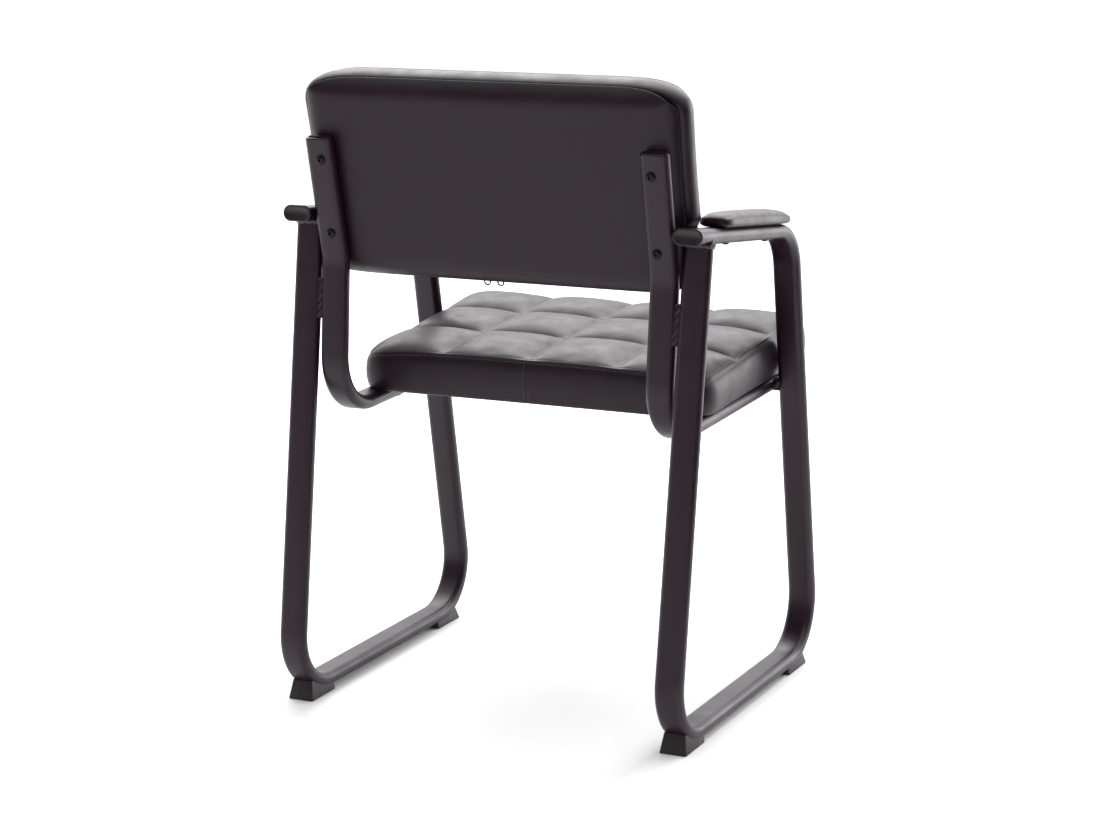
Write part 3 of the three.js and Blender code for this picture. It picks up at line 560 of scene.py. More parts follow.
class CHAIR_OT_welds(Operator):
    """Lays the weld beads round the leg tops and finishes the blocks that join rails and loops"""

    bl_idname = "chair.welds"
    bl_label = "Weld beads and blocks"

    def execute(self, context):
        sizes = context.scene.chair_sizes
        arm = heading_of(LOOP_CORNERS[1], LOOP_CORNERS[0])
        down = Vector((0, arm.z, -arm.y))
        leg_top = Vector((0, *map(mm, LOOP_CORNERS[-1])))
        # Rings of the bead: how far it stands out from the tube, and its distance below the arm
        rings = ((0.0, 5.2), (1.8, 4.4), (3.2, 2.4), (4.0, 0.2), (3.8, -1.2), (0.0, -1.4))
        bead = oval_ring("leg_weld_bead", sizes.tube_width, sizes.tube_depth)
        edit(bead)
        for (grown, drop), (growing, dropping) in zip(rings, rings[1:]):
            extrude((0, 0, mm(drop - dropping)))
            across = (sizes.tube_width + mm(growing)) / (sizes.tube_width + mm(grown))
            deep = (sizes.tube_depth + mm(growing * 2)) / (sizes.tube_depth + mm(grown * 2))
            bpy.ops.transform.resize(value=(across, deep, 1))
        select_everything()
        bpy.ops.transform.vertex_random(offset=mm(0.7), uniform=0.3, seed=5)
        leave_edit()
        outward(bead)
        smooth(bead, 60)
        bead.location = leg_top + down * (sizes.tube_depth / 2 + mm(rings[0][1]))
        bead.rotation_euler = (math.radians(ARM_TILT), 0, 0)
        settle(bead)
        for _, side, piece in both_sides(bead, "leg_weld_bead"):
            lean_out(piece, side, LOOP_X)
            carry(piece, "weld", "frame")
        paint_both_sides("weld", "rear_weld_block", "front_weld_block")
        return {"FINISHED"}


class CHAIR_OT_caps(Operator):
    """Presses the oval end caps into the open tube ends"""

    bl_idname = "chair.caps"
    bl_label = "Tube end caps"

    def execute(self, context):
        sizes = context.scene.chair_sizes
        # How far the rim stands over the tube, and the head's height. The rail's top plug sits inside its tube
        ends = (
            ("arm_end_cap", LOOP_CORNERS[0], LOOP_CORNERS[1], LOOP_X, 1.2, 2.4),
            ("rail_top_cap", RAIL_CORNERS[0], RAIL_CORNERS[1], RAIL_X, -1.3, 1.3),
            ("rail_front_cap", RAIL_CORNERS[-1], RAIL_CORNERS[-2], RAIL_X, 0, 2.4),
        )
        for name, end, inner, x_at_floor, rim, head in ends:
            cap = oval_ring(name, sizes.tube_width + mm(rim * 2), sizes.tube_depth + mm(rim * 2))
            edit(cap)
            bpy.ops.mesh.edge_face_add()
            extrude((0, 0, mm(head)))
            bpy.ops.mesh.bevel(offset=mm(head * 0.4), segments=3)
            # A shallow dished middle, as moulded caps have
            choose(lambda face: face.normal.z > 0.99 and face.calc_area() > 0.0001, "FACE")
            bpy.ops.mesh.inset(thickness=mm(2.2))
            bpy.ops.mesh.inset(thickness=mm(0.5), depth=-mm(0.35))
            leave_edit()
            outward(cap)
            smooth(cap, 40)
            heading = heading_of(inner, end)
            aim(cap, Vector((0, *map(mm, end))) + heading * mm(0.15), heading)
            for side_name, side, piece in both_sides(cap, f"{name}_moulding"):
                lean_out(piece, side, x_at_floor)
                carry(piece, "cap_plastic", "caps", f"{side_name}_{name}")
        return {"FINISHED"}


class CHAIR_OT_glides(Operator):
    """Moulds the wedge glides that hold the four lower bends"""

    bl_idname = "chair.glides"
    bl_label = "Floor glides"

    def execute(self, context):
        # Low and tall end along Y at the floor and at the top, and the height at both
        wedges = (
            ("rear_glide", ((205.9, 266.9), (205.9, 259.9)), (9.8, 27)),
            ("front_glide", ((-89.8, -153.8), (-89.8, -146.8)), (9.8, 21)),
        )
        half_width, side_draft = 18.5, 4
        for name, ends, heights in wedges:
            deselect()
            bpy.ops.mesh.primitive_cube_add(size=1)
            wedge = newest(name)
            edit(wedge)
            # Each corner of the unit cube goes to its place and is hidden, so that it is left there
            for across, end, level in product((-1, 1), (0, 1), (0, 1)):
                height = heights[end] * level
                half = half_width - side_draft * height / heights[1]
                choose(lambda corner: corner.co.x * across > 0 and (corner.co.y > 0) == bool(end)
                       and (corner.co.z > 0) == bool(level) and max(map(abs, corner.co)) < 0.51)
                shift((mm(across * half) - across * 0.5, mm(ends[level][end]) - (end - 0.5),
                       mm(height) - (level - 0.5)))
                bpy.ops.mesh.hide(unselected=False)
            bpy.ops.mesh.reveal(select=False)
            leave_edit()
            outward(wedge)
            edit(wedge)
            bpy.ops.mesh.bevel(offset=mm(1.6), segments=3)
            leave_edit()
            smooth(wedge, 40)
            for side_name, side, piece in both_sides(wedge, f"{name}_moulding"):
                # The glides stand upright, so that their soles lie on the floor
                move(piece, (side * LOOP_X, 0, 0))
                modify(piece, "BOOLEAN", operation="DIFFERENCE", solver="EXACT",
                       object=bpy.data.objects[f"{side_name}_side_loop_tube"])
                smooth(piece, 40)
                carry(piece, "plastic", "glides", f"{side_name}_{name}")
        return {"FINISHED"}


# Screws


def socket_head(name, head, rise, socket, depth, shank, length):
    """Button head screw with a hex socket, its head under z = 0 and its shank up."""
    deselect()
    bpy.ops.mesh.primitive_cylinder_add(
        vertices=40, radius=mm(head / 2), depth=mm(rise * 0.4), location=(0, 0, -mm(rise * 0.2)))
    screw = newest(name)
    settle(screw)
    edit(screw)
    choose(lambda face: face.normal.z < -0.9, "FACE")
    # The button rises in four rings, each flatter than the last
    for inset, drop in ((0.05, 0.22), (0.09, 0.2), (0.1, 0.12), (0.1, 0.06)):
        bpy.ops.mesh.inset(thickness=mm(head * inset))
        shift((0, 0, -mm(rise * drop)))
    choose(lambda face: face.normal.z > 0.9, "FACE")
    bpy.ops.mesh.inset(thickness=mm((head - shank) / 2))
    extrude((0, 0, mm(length)))
    leave_edit()
    deselect()
    bpy.ops.mesh.primitive_cylinder_add(
        vertices=6, radius=mm(socket / math.sqrt(3)), depth=mm(depth * 2), location=(0, 0, -mm(rise)))
    hexagon = bpy.context.object
    settle(hexagon)
    modify(screw, "BOOLEAN", operation="DIFFERENCE", solver="EXACT", object=hexagon)
    bpy.data.objects.remove(hexagon)
    outward(screw)
    smooth(screw, 32)
    return screw


class CHAIR_OT_screws(Operator):
    """Sets the socket screws of back, seat and arm pads, and the washers under the seat"""

    bl_idname = "chair.screws"
    bl_label = "Screws and washers"

    def execute(self, context):
        back = socket_head("back_screw", 12.5, 3.6, 4, 2.1, 6, 40)
        seat = socket_head("seat_bolt", 15, 4.6, 5, 2.6, 8, 38)
        pad = socket_head("pad_screw", 9.5, 3, 3, 1.7, 5, 24)
        tube_depth = context.scene.chair_sizes.tube_depth / MILLIMETRE
        behind, under = tube_depth / 2 + HEAD_GAP, -tube_depth - HEAD_GAP
        for side_name, side in SIDES:
            for place, drop in BACK_SCREWS:
                x = rail_x(BACK_PLACE[0][2] - drop) - BACK_SCREW_INSET
                spot = (side * x, behind, -drop)
                self.set_screw(back, f"{side_name}_{place}_back_screw", spot, BACK_PLACE, 90)
            seat_x = side * rail_x(SEAT_PLACE[0][2])
            for place, forward in SEAT_BOLTS:
                self.set_screw(seat, f"{side_name}_{place}_seat_bolt", (seat_x, -forward, under), SEAT_PLACE)
                self.washer(f"{side_name}_{place}_seat", (seat_x, -forward, 0.3))
            for place, along in PAD_SCREWS:
                self.set_screw(pad, f"{side_name}_{place}_arm_pad_screw", (0, along, under), pad_place(side))
        for pattern in (back, seat, pad):
            bpy.data.objects.remove(pattern)
        return {"FINISHED"}

    def set_screw(self, pattern, node, spot, place, turn=0):
        """Copies a screw, turned about X, to its spot in a carried part's frame."""
        screw = twin(pattern, f"{node}_head")
        move(screw, spot, (turn, 0, 0))
        put(screw, *place)
        carry(screw, "black_screw", "screws", node)

    def washer(self, name, spot):
        """Turned spacer washer with eased edges."""
        deselect()
        bore, face, rim = 4.3, 10.5, 11
        bpy.ops.mesh.primitive_circle_add(vertices=40, radius=mm(bore))
        ring = newest(f"{name}_washer")
        edit(ring)
        # Across the lower face, up the rim with its eased edges, back across the top and down the bore
        for growth, rise in ((face / bore, 0), (rim / face, 0.4), (1, 1.6), (face / rim, 0.4),
                             (bore / face, 0), (1, -2.4)):
            extrude((0, 0, mm(rise)))
            bpy.ops.transform.resize(value=(growth, growth, 1))
        leave_edit()
        outward(ring)
        smooth(ring, 40)
        move(ring, spot)
        put(ring, *SEAT_PLACE)
        carry(ring, "zinc", "zinc", f"{name}_spacer")


# Covered cushions


class Plan:
    """Rectangle with oval corners and sides drawn in between them, laid out on shares from -1 to 1."""

    def __init__(self, width, length, corner, side_draw=0, end_draw=0, front_corner=None, fullness=2):
        self.half_x, self.half_y = width / 2, length / 2
        self.fullness = fullness
        self.corner, self.front_corner = corner, front_corner or corner
        self.side_draw, self.end_draw = side_draw, end_draw

    def at(self, u, v):
        ring = max(abs(u), abs(v))
        # Only the outer quarter of the plan is rounded, so that the sewn lines stay straight
        share = max((ring - 0.74) / 0.26, 0) ** 0.7
        reach_x, reach_y = (size * share for size in (self.corner if v > 0 else self.front_corner))
        core_x, core_y = self.half_x * ring - reach_x, self.half_y * ring - reach_y
        over_x, over_y = max(abs(u) * self.half_x - core_x, 0), max(abs(v) * self.half_y - core_y, 0)
        x, y = u * self.half_x, v * self.half_y
        if over_x > 0 and over_y > 0 and share > 0:
            full = self.fullness
            spread = ((over_x / reach_x) ** full + (over_y / reach_y) ** full) ** (1 / full)
            pull = min(1 / spread, 1)
            x = math.copysign(core_x + over_x * pull, u)
            y = math.copysign(core_y + over_y * pull, v)
        x -= x / self.half_x * self.side_draw * max(1 - (y / self.half_y) ** 2, 0)
        y -= y / self.half_y * self.end_draw * max(1 - (x / self.half_x) ** 2, 0)
        return Vector((x, y))


def graded(lines, cells, lip):
    """Shares between lines, closer beside each line, with one more line just inside both borders."""
    shares = [-1, -1 + lip]
    for a, b in zip(lines, lines[1:]):
        low, high = max(a, -1 + lip), min(b, 1 - lip)
        for i in range(1, cells + 1):
            even = i / cells
            eased = 0.5 - 0.5 * math.cos(math.pi * even)
            shares.append(low + (high - low) * (0.45 * even + 0.55 * eased))
    return shares + [1]


def tile_share(lines, value):
    """Place between the two neighbouring lines, from 0 to 1."""
    for a, b in zip(lines, lines[1:]):
        if value <= b:
            return max((value - a) / (b - a), 0)
    return 1


def pillow(grid, u, v):
    """Height share of a sewn tile: steep beside its seams, flat in its middle."""
    height = 1
    for (lines, _, _), value in zip(grid, (u, v)):
        height *= 1 - abs(tile_share(lines, value) * 2 - 1) ** 3
    return max(height, 0) ** 0.68


def nearest(values, aim_at):
    return min(range(len(values)), key=lambda i: abs(values[i] - aim_at))


def facings(points):
    """Outward direction at each point of a ring, seen from above."""
    runs = [after - before for before, after in zip(points[-1:] + points[:-1], points[1:] + points[:1])]
    return [Vector((run.y, -run.x, 0)).normalized() for run in runs]


# Depth of the groove beside an edge seam, and of the centre seam in the boxing
GROOVE = 0.9
# Rings of an edge seam: outset along x and y, and the height from that of the border
SEAM_STEPS = ((0.5, 0.5, lambda z: z - 1.1), (-0.5, -0.5, lambda z: z - 2.6))


def boxing_steps(count, bulge_x, bulge_y, foot):
    """Bulging wall from just below the seam to the underside."""
    steps = []
    for i in range(1, count + 1):
        share = 1 - i / count
        swell = math.sin(math.pi * min(share * 0.92 + 0.08, 1)) ** 0.45
        tuck = foot * (1 - share) ** 6
        steps.append((bulge_x * swell - tuck, bulge_y * swell - tuck,
                      lambda z, part=share: 1.2 + (z - 4.2) * part))
    return steps


class Cover:
    """A sewn cover over its filling, drawn flat with its top up.

    The grid is what graded() takes, for the columns and for the rows. In a sewn cover the lines between
    the borders are seams.
    """

    def __init__(self, name, plan, grid, top, sewn=True):
        self.name = name
        self.shape = bmesh.new()
        columns, rows = graded(*grid[0]), graded(*grid[1])
        net = [[self.corner(*plan.at(u, v), top(u, v)) for u in columns] for v in rows]
        for near, far in zip(net, net[1:]):
            for i in range(len(columns) - 1):
                self.shape.faces.new((near[i], near[i + 1], far[i + 1], far[i]))
        self.lines = []
        if sewn:
            self.lines += [[row[nearest(columns, share)] for row in net] for share in grid[0][0][1:-1]]
            self.lines += [net[nearest(rows, share)] for share in grid[1][0][1:-1]]
        border = net[0][:-1] + [row[-1] for row in net[:-1]] + net[-1][:0:-1] + [row[0] for row in net[:0:-1]]
        lip = net[1][1:-1] + net[-2][1:-1] + [row[i] for row in net[1:-1] for i in (1, -2)]
        self.rings = [border]
        # The rear border runs back from the last column, so its middle is counted from there
        self.rear_middle = 2 * (len(columns) - 1) - len(columns) // 2 + len(rows) - 1
        self.marked = sum(self.lines, border + lip)
        self.pinned = list(self.marked)

    def corner(self, x, y, z):
        return self.shape.verts.new((mm(x), mm(y), mm(z)))

    def wall(self, steps, pinned=True):
        """Rings below the border, each with its outset along x and y and its height from the border's."""
        border = self.rings[0]
        outs = facings([corner.co for corner in border])
        for out_x, out_y, level in steps:
            ring = [self.corner(corner.co.x / MILLIMETRE + out.x * out_x,
                                corner.co.y / MILLIMETRE + out.y * out_y,
                                level(corner.co.z / MILLIMETRE)) for corner, out in zip(border, outs)]
            above = self.rings[-1]
            for i, corner in enumerate(ring):
                after = (i + 1) % len(ring)
                self.shape.faces.new((above[i], corner, ring[after], above[after]))
            self.rings.append(ring)
            if pinned:
                self.pinned += ring

    def enclose(self, count, bulge, foot, edge_seam=True, centre_seam=False):
        """Walls round the cover: the seam at its edge, the boxing, and the hem under the board."""
        if edge_seam:
            self.wall(SEAM_STEPS)
        else:
            self.marked = []
        self.wall(boxing_steps(count, *bulge, foot), edge_seam)
        self.wall([(-foot - inset, -foot - inset, lambda z: 0.0) for inset in (1.4, 14)])
        if centre_seam:
            for ring in self.rings[1:-2]:
                ring[self.rear_middle].co.y -= mm(GROOVE)
                self.marked.append(ring[self.rear_middle])
                self.pinned.append(ring[self.rear_middle])

    def made(self):
        """The cover as an object, with its held corners as a group and its seams as an attribute."""
        self.shape.normal_update()
        self.shape.verts.index_update()
        creases = self.shape.edges.layers.float.new("crease_edge")
        for line in self.lines:
            for ends in zip(line, line[1:]):
                self.shape.edges.get(ends)[creases] = 0.6
        self.line_indices = [[corner.index for corner in line] for line in self.lines]
        self.ring_indices = [[corner.index for corner in ring] for ring in self.rings]
        held = sorted({corner.index for corner in self.pinned})
        seams = {corner.index for corner in self.marked}
        mesh = bpy.data.meshes.new(self.name)
        bmesh.ops.recalc_face_normals(self.shape, faces=self.shape.faces)
        self.shape.to_mesh(mesh)
        self.shape.free()
        piece = bpy.data.objects.new(self.name, mesh)
        bpy.context.scene.collection.objects.link(piece)
        piece.vertex_groups.new(name="held").add(held, 1.0, "REPLACE")
        # The sewn attribute marks where the cover's material paints shade along the seams
        values = [float(index in seams) for index in range(len(mesh.vertices))]
        mesh.attributes.new("sewn", "FLOAT", "POINT").data.foreach_set("value", values)
        return piece


def fill_cover(piece, cap_mm, stretch=0):
    """Swells a cover with cloth pressure between its sewn lines, moves no point further than the cap."""
    scene = bpy.context.scene
    pick(piece)
    before = [corner.co.copy() for corner in piece.data.vertices]
    cloth = piece.modifiers.new("Filling", "CLOTH")
    own = cloth.settings
    own.quality = 6
    own.mass = 0.3
    own.tension_stiffness = own.compression_stiffness = 15
    own.shear_stiffness = 6
    own.bending_stiffness = 2.5
    own.use_pressure = True
    own.uniform_pressure_force = scene.chair_sizes.cloth_pressure
    own.vertex_group_mass = "held"
    own.pin_stiffness = 1
    own.shrink_min = -stretch
    own.effector_weights.gravity = 0
    cloth.collision_settings.use_collision = False
    for step in range(1, scene.chair_sizes.cloth_frames + 1):
        scene.frame_set(step)
    bpy.ops.object.modifier_apply(modifier=cloth.name)
    scene.frame_set(1)
    for corner, old in zip(piece.data.vertices, before):
        moved = corner.co - old
        if moved.length > mm(cap_mm):
            corner.co = old + moved.normalized() * mm(cap_mm)
    # Foam under the cover evens out the finest creases
    modify(piece, "SMOOTH", factor=0.5, iterations=4, vertex_group="held", invert_vertex_group=True)


def refine(piece):
    """One subdivision after the filling, then the flat underside closes the cover."""
    modify(piece, "SUBSURF", levels=1, render_levels=1)
    edit(piece)
    bpy.ops.mesh.fill_holes(sides=0)
    select_everything()
    bpy.ops.mesh.normals_make_consistent(inside=False)
    leave_edit()
    bpy.ops.object.shade_smooth()


def positions(piece, indices):
    return [piece.data.vertices[i].co.copy() for i in indices]


def seam_paths(piece, cover):
    """The sewn lines between the borders, as lists of points."""
    return [positions(piece, line[1:-1]) for line in cover.line_indices]


def offset_path(piece, ring, inward, drop):
    """Closed path beside a ring, moved inward and down."""
    points = positions(piece, ring)
    path = [point - out * mm(inward) - Vector((0, 0, mm(drop))) for point, out in zip(points, facings(points))]
    return path + path[:1]


def stitched(name, surface, paths):
    """Rows of short thread stitches along paths, laid on a surface."""
    sizes = bpy.context.scene.chair_sizes
    pitch, width = sizes.stitch_pitch, sizes.thread_width
    deselect()
    bpy.ops.mesh.primitive_cylinder_add(
        vertices=6, radius=width / 2, depth=pitch * 0.5, rotation=(0, math.pi / 2, 0))
    stitch = bpy.context.object
    settle(stitch)
    edit(stitch)
    # Both ends taper and dip into the cover
    for end in (1, -1):
        choose(lambda face: face.normal.x * end > 0.9, "FACE")
        extrude((end * pitch * 0.14, 0, -width * 0.35))
        bpy.ops.transform.resize(value=(1, 0.55, 0.55))
    leave_edit()
    outward(stitch)
    pattern = positions(stitch, range(len(stitch.data.vertices)))
    loops = [list(face.vertices) for face in stitch.data.polygons]
    bpy.data.objects.remove(stitch)
    cover = bmesh.new()
    cover.from_mesh(surface.data)
    tree = BVHTree.FromBMesh(cover)
    cover.free()
    corners, faces = [], []
    for path in paths:
        lengths = [(b - a).length for a, b in zip(path, path[1:])]
        whole = sum(lengths)
        count = max(int(whole / pitch), 1)
        passed, k = 0.0, 0
        for i in range(count):
            along = (i + 0.5) * whole / count
            while k < len(lengths) - 1 and passed + lengths[k] < along:
                passed += lengths[k]
                k += 1
            heading = (path[k + 1] - path[k]).normalized()
            spot, normal, _, _ = tree.find_nearest(path[k] + heading * (along - passed))
            side = normal.cross(heading).normalized()
            turned = Matrix((side.cross(normal), side, normal)).transposed()
            start = len(corners)
            corners += [turned @ corner + spot + normal * width * 0.3 for corner in pattern]
            faces += [[start + index for index in loop] for loop in loops]
    mesh = bpy.data.meshes.new(name)
    mesh.from_pydata(corners, [], faces)
    threads = bpy.data.objects.new(name, mesh)
    bpy.context.scene.collection.objects.link(threads)
    smooth(threads, 60)
    return threads


class CHAIR_OT_seat(Operator):
    """Sews and fills the quilted seat, with its boxing, seams and stitches"""

    bl_idname = "chair.seat"
    bl_label = "Seat cushion"

    def execute(self, context):
        rise = context.scene.chair_sizes.seat_tile_rise / MILLIMETRE
        plan = Plan(SEAT_WIDTH, SEAT_LENGTH, (36, 40), 3, 2, (70, 68))
        rows = [y * 2 / SEAT_LENGTH for y in SEAT_ROWS]
        grid = (([-1, -0.5, 0, 0.5, 1], 22, 0.011), ([-1, *rows, 1], 20, 0.014))

        seam_height, crown_height, front_drop = 53.2, 59.1, 34

        def top(u, v):
            # The front falls away, and the rear edge rises toward its middle
            front = front_drop * max((-v - 0.45) / 0.55, 0) ** 2
            rear = 10.6 * (1 - u ** 4) * max(v, 0) ** 4 + 5.5 * max(v, 0) ** 3
            seam = seam_height - 16 * v + rear - front
            crown = crown_height - 5.4 * v - front
            ring = max(abs(u), abs(v))
            groove = GROOVE if 0.98 < ring < 0.995 else 0
            return seam + (crown - seam) * (1 - ring ** 7) + rise * pillow(grid, u, v) - groove

        cover = Cover("seat_cover", plan, grid, top)
        cover.enclose(12, (7, 6), 1, centre_seam=True)
        seat = cover.made()
        fill_cover(seat, 6, 0.004)
        self.hang_boxing(seat, cover.ring_indices[-1])
        rings = cover.ring_indices
        paths = seam_paths(seat, cover)
        paths.append(offset_path(seat, rings[2], 0, 2.2))
        paths.append(offset_path(seat, rings[0], 5.2, -0.4))
        centre = positions(seat, [ring[cover.rear_middle] for ring in rings[2:-2]])
        paths.append([point + Vector((mm(3.2), 0, 0)) for point in centre])
        refine(seat)
        threads = stitched("seat_stitches", seat, paths)
        for piece in (seat, threads):
            move(piece, (0, -SEAT_FORWARD, SEAT_LIFT))
            put(piece, *SEAT_PLACE)
        carry(seat, "cover", "covers", "seat_cushion")
        carry(threads, "thread", "covers")
        paint_nodes("plywood", "seat_board")
        paint_nodes("lining", "seat_dust_cover")
        paint_both_sides("zinc", "rear_seat_tee_nut", "front_seat_tee_nut")
        return {"FINISHED"}

    def hang_boxing(self, seat, hem):
        """Lets the boxing's lower edge hang past the board, more so toward the rear."""
        kept = set(hem)
        for corner in seat.data.vertices:
            if corner.index not in kept:
                low = min(max(1 - corner.co.z / mm(40), 0), 1)
                rearward = min(max(0.5 + corner.co.y / mm(SEAT_LENGTH), 0), 1)
                corner.co.z -= mm(1 + 5 * rearward) * low


def press_beside_arms(piece):
    """Pushes a cover inward where arm and leg tube press on it, in the chair's own frame."""
    sizes = bpy.context.scene.chair_sizes
    corners = [Vector((mm(y), mm(z))) for y, z in LOOP_CORNERS]
    runs = ((corners[0], corners[1]), (corners[4], corners[3]))
    for corner in piece.data.vertices:
        point = Vector(corner.co[1:])
        gaps = []
        for start, end in runs:
            run = end - start
            share = min(max((point - start).dot(run) / run.length_squared, 0), 1)
            gaps.append((point - start - run * share).length)
        clear = max(min(gaps) - sizes.tube_depth / 2, 0)
        side = 1 if corner.co.x > 0 else -1
        inner = mm(loop_x(corner.co.z / MILLIMETRE) - 0.5) - sizes.tube_width / 2
        # Beyond the tube the cover comes back out over some 15 mm
        over = corner.co.x * side - (inner + clear * 0.75 + clear * clear * 30)
        if over > 0:
            corner.co.x -= side * over


class CHAIR_OT_back(Operator):
    """Sews and fills the back: quilted front, boxing, and the plain padded panel behind"""

    bl_idname = "chair.back"
    bl_label = "Back cushion and panel"

    def execute(self, context):
        rise = context.scene.chair_sizes.back_tile_rise / MILLIMETRE
        grid = (([-1, -0.5, 0, 0.5, 1], 22, 0.011), ([-1, 0, 1], 22, 0.02))

        seam_height, crown_rise = 35, 7

        def top(u, v):
            ring = max(abs(u), abs(v))
            groove = GROOVE if 0.975 < ring < 0.995 else 0
            return seam_height + crown_rise * (1 - ring ** 7) + rise * pillow(grid, u, v) - groove

        cover = Cover("back_cover", self.plan(), grid, top)
        cover.enclose(8, (10, 3), 1.5)
        back = cover.made()
        fill_cover(back, 5, 0.004)
        paths = seam_paths(back, cover) + [offset_path(back, cover.ring_indices[0], 5.2, -0.4)]
        refine(back)
        threads = stitched("back_stitches", back, paths)
        for piece in (back, threads):
            self.stand(piece, 25.7, seam_height)
            press_beside_arms(piece)
        carry(back, "cover", "covers", "back_cushion")
        carry(threads, "thread", "covers")
        self.rear_panel()
        self.hoops()
        paint_nodes("plywood", "back_board")
        paint_both_sides("zinc", "upper_back_tee_nut", "lower_back_tee_nut")
        return {"FINISHED"}

    def plan(self):
        return Plan(BACK_WIDTH, BACK_HEIGHT, (96, 42), 4, 0, fullness=3)

    def stand(self, piece, depth, thickness):
        """Turns a piece drawn flat upright, its top toward the sitter, and slopes its crest down to the rear.

        The slope is full at the flat side and gone at the thickness.
        """
        for corner in piece.data.vertices:
            share = 1 - corner.co.z / mm(thickness)
            corner.co.y -= mm(CREST_SLOPE) * min(max(share, 0), 1)
        move(piece, (0, -depth, BACK_MIDDLE), (90, 0, 0))
        put(piece, *BACK_PLACE)

    def rear_panel(self):
        """Plain panel whose edge rolls round to the seam with the boxing."""
        plan = self.plan()
        thickness, edge_thickness, roll = 15.6, 0.2, 30

        def face(u, v):
            x, y = plan.at(u, v)
            edge = min(plan.half_x - abs(x), plan.half_y - abs(y))
            reach = min(max(1 - edge / roll, 0), 1)
            return thickness - (thickness - edge_thickness) * reach ** 2.6

        grid = (([-1, 0, 1], 40, 0.012), ([-1, 0, 1], 22, 0.022))
        cover = Cover("back_panel_cover", plan, grid, face, sewn=False)
        cover.wall([(out, out, lambda z, down=down: z - down)
                    for out, down in ((0.3, 0.7), (-0.9, 1.3), (-8, 1.3))])
        panel = cover.made()
        refine(panel)
        move(panel, (0, 0, 0), (0, 180, 0))
        # The whole panel hangs lower with the crest's rear edge
        self.stand(panel, 25.4, 1000)
        press_beside_arms(panel)
        carry(panel, "cover", "covers", "back_rear_panel")

    def hoops(self):
        """Wire hoops that close the cover under the back."""
        shape = ((-4, 1), (-4, -4.2), (4, -4.2), (4, 1))
        below = BACK_MIDDLE - BACK_HEIGHT / 2 - CREST_SLOPE
        for number, x in ((1, 8), (2, 27)):
            hoop = sweep(f"cover_staple_wire_{number}", shape, (3.6, 3.6), mm(2.2), mm(2))
            move(hoop, (x, -24, below), (0, 0, 90))
            put(hoop, *BACK_PLACE)
            carry(hoop, "enamel", "zinc", f"cover_staple_{number}")


class CHAIR_OT_arm_pads(Operator):
    """Sews and fills the two arm pads"""

    bl_idname = "chair.arm_pads"
    bl_label = "Arm pads"

    def execute(self, context):
        plan = Plan(43, 226, (15, 18))
        grid = (([-1, 0, 1], 10, 0.02), ([-1, 0, 1], 28, 0.008))

        def top(u, v):
            # One piece of cover pulled over soft padding that thins out toward the front end
            crown = max((1 - abs(u) ** 2.6) * (1 - abs(v) ** 8), 0) ** 0.65
            thinning = max(-v, 0) ** 3
            return 10.5 - thinning + (9 - thinning) * crown

        for side_name, side in SIDES:
            cover = Cover(f"{side_name}_arm_pad_cover", plan, grid, top, sewn=False)
            cover.enclose(5, (1.2, 1.2), 4, edge_seam=False)
            pad = cover.made()
            fill_cover(pad, 1.5)
            refine(pad)
            move(pad, (0, 0, 0.3))
            put(pad, *pad_place(side))
            carry(pad, "cover", "covers", f"{side_name}_arm_pad")
        paint_both_sides("plywood", "arm_pad_board")
        return {"FINISHED"}


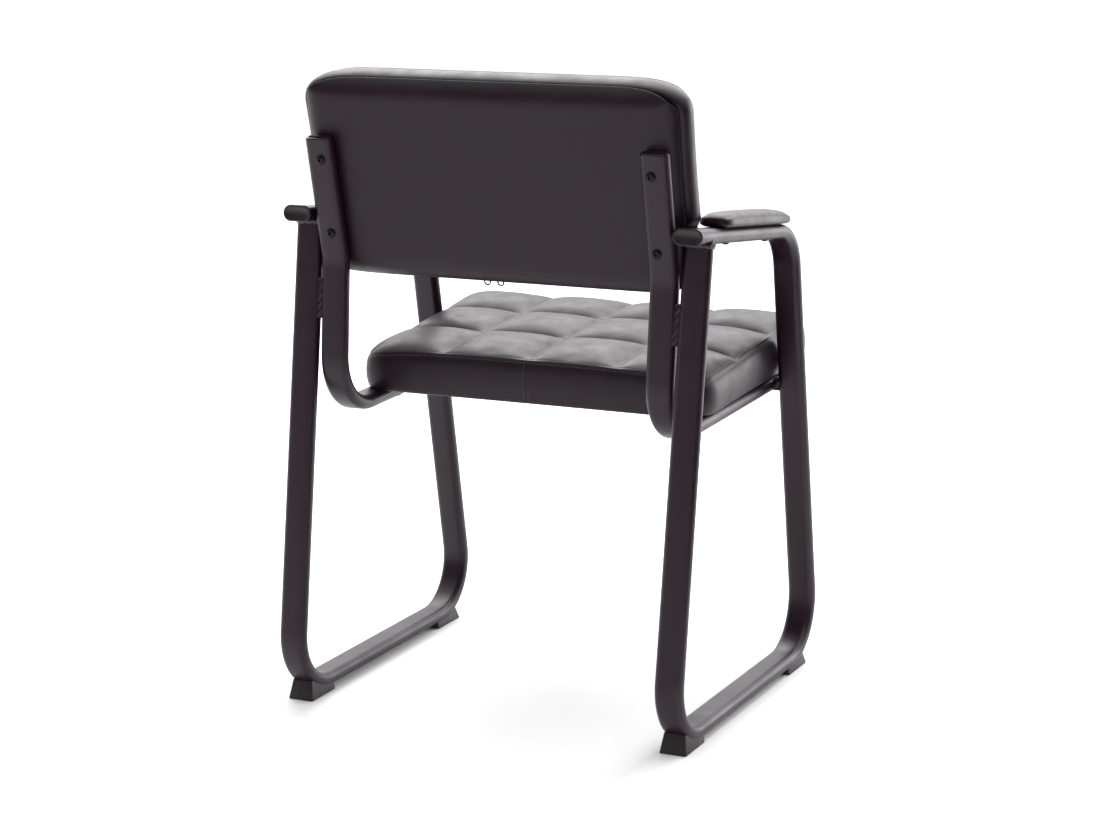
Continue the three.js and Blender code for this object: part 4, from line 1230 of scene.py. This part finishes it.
class CHAIR_OT_studio(Operator):
    """Sets the pale floor, the soft lights and the camera"""

    bl_idname = "chair.studio"
    bl_label = "Studio floor, lights and camera"

    def execute(self, context):
        finishes = context.scene.chair_finishes
        deselect()
        bpy.ops.mesh.primitive_plane_add(size=80)
        floor = newest("studio_floor")
        floor.data.materials.append(finish_of("floor"))
        context.scene.world = self.surroundings()
        self.flag()
        self.lamp("top_softbox", finishes.top_light, (0.7, -2.3, 2.9), (4.4, 2.8))
        self.lamp("side_softbox", finishes.side_light, (-1.9, -2.9, 1.0), (1.6, 1.8))
        self.camera(context.scene)
        context.scene.view_settings.view_transform = "Standard"
        return {"FINISHED"}

    def surroundings(self):
        """White walls before and beside the chair, a bright ceiling, a dim room behind the camera."""
        world = bpy.data.worlds.new("studio_world")
        world.use_nodes = True
        add = partial(add_node, world.node_tree)
        depth = add("SeparateXYZ", "Y", Vector=add("TexCoord", "Generated"))
        height = depth.node.outputs["Z"]
        walls = add("MapRange", "Result", Value=depth, From_Min=-0.6, From_Max=0.7, To_Min=1.4, To_Max=0.28)
        ceiling = add("MapRange", "Result", Value=height, From_Min=0.7, From_Max=0.95, To_Min=0, To_Max=0.9)
        both = add("Math", "Value", operation="ADD")
        feed(both.node, {0: walls, 1: ceiling})
        feed(world.node_tree.nodes["Background"], {"Color": (1, 1, 1, 1), "Strength": both})
        return world

    def lamp(self, name, power, place, size):
        """Soft rectangular light that faces the chair and stays out of the picture. Sizes in metres."""
        data = bpy.data.lights.new(name, "AREA")
        data.energy = power
        data.shape = "RECTANGLE"
        data.size, data.size_y = size
        lamp = bpy.data.objects.new(name, data)
        lamp.location = place
        lamp.rotation_euler = (Vector((0, 0, 0.5)) - Vector(place)).to_track_quat("-Z", "Y").to_euler()
        lamp.visible_camera = False
        bpy.context.scene.collection.objects.link(lamp)

    def flag(self):
        """Black card at the chair's right, seen only in the gloss, which draws a dark line along each tube."""
        deselect()
        bpy.ops.mesh.primitive_plane_add(size=1)
        card = newest("black_card")
        card.scale = (1.5, 1.1, 1)
        move(card, (-1300, 450, 560), (90, 0, 90))
        edit(card)
        extrude((-0.01, 0, 0))
        leave_edit()
        outward(card)
        card.data.materials.append(finish_of("enamel"))
        card.visible_camera = card.visible_diffuse = card.visible_shadow = False

    def camera(self, scene):
        """Camera of the photograph, whose image is 1100 by 824 pixels."""
        width, height = 1100, 824
        focal_length, centre_x, centre_y = 2804.106, 549.493, 419.253
        data = bpy.data.cameras.new("photo_camera")
        data.sensor_width = 36
        data.lens = focal_length / width * data.sensor_width
        data.shift_x = (width / 2 - centre_x) / width
        data.shift_y = (centre_y - height / 2) / width
        data.clip_start, data.clip_end = 0.05, 60
        camera = bpy.data.objects.new("photo_camera", data)
        right = Vector((-0.89959048, -0.43652141, -0.01363919))
        up = Vector((0.08486816, -0.20536172, 0.97499947))
        turn = Matrix((right, up, right.cross(up))).transposed().to_4x4()
        turn.translation = Vector((-1.5935155, 3.3102083, 1.1862905))
        camera.matrix_world = turn
        scene.collection.objects.link(camera)
        scene.camera = camera


class CHAIR_PT_chair(Panel):
    """Lists the chair's pieces, sizes and finishes"""

    bl_label = "Visitor chair"
    bl_idname = "CHAIR_PT_chair"
    bl_space_type = "VIEW_3D"
    bl_region_type = "UI"
    bl_category = "Chair"

    def draw(self, context):
        for operator in OPERATORS:
            self.layout.operator(operator.bl_idname)
        for group in (context.scene.chair_sizes, context.scene.chair_finishes):
            for name in group.__annotations__:
                self.layout.prop(group, name)


OPERATORS = (
    CHAIR_OT_tubes,
    CHAIR_OT_welds,
    CHAIR_OT_caps,
    CHAIR_OT_glides,
    CHAIR_OT_screws,
    CHAIR_OT_seat,
    CHAIR_OT_back,
    CHAIR_OT_arm_pads,
    CHAIR_OT_studio,
)
CLASSES = (ChairSizes, ChairFinishes, *OPERATORS, CHAIR_PT_chair)


def register():
    for item in CLASSES:
        bpy.utils.register_class(item)
    bpy.types.Scene.chair_sizes = PointerProperty(type=ChairSizes)
    bpy.types.Scene.chair_finishes = PointerProperty(type=ChairFinishes)


def unregister():
    del bpy.types.Scene.chair_finishes
    del bpy.types.Scene.chair_sizes
    for item in reversed(CLASSES):
        bpy.utils.unregister_class(item)


def main():
    register()
    bpy.ops.chair.tubes()
    bpy.ops.chair.welds()
    bpy.ops.chair.caps()
    bpy.ops.chair.glides()
    bpy.ops.chair.screws()
    bpy.ops.chair.seat()
    bpy.ops.chair.back()
    bpy.ops.chair.arm_pads()
    bpy.ops.chair.studio()


if __name__ == "__main__":
    main()
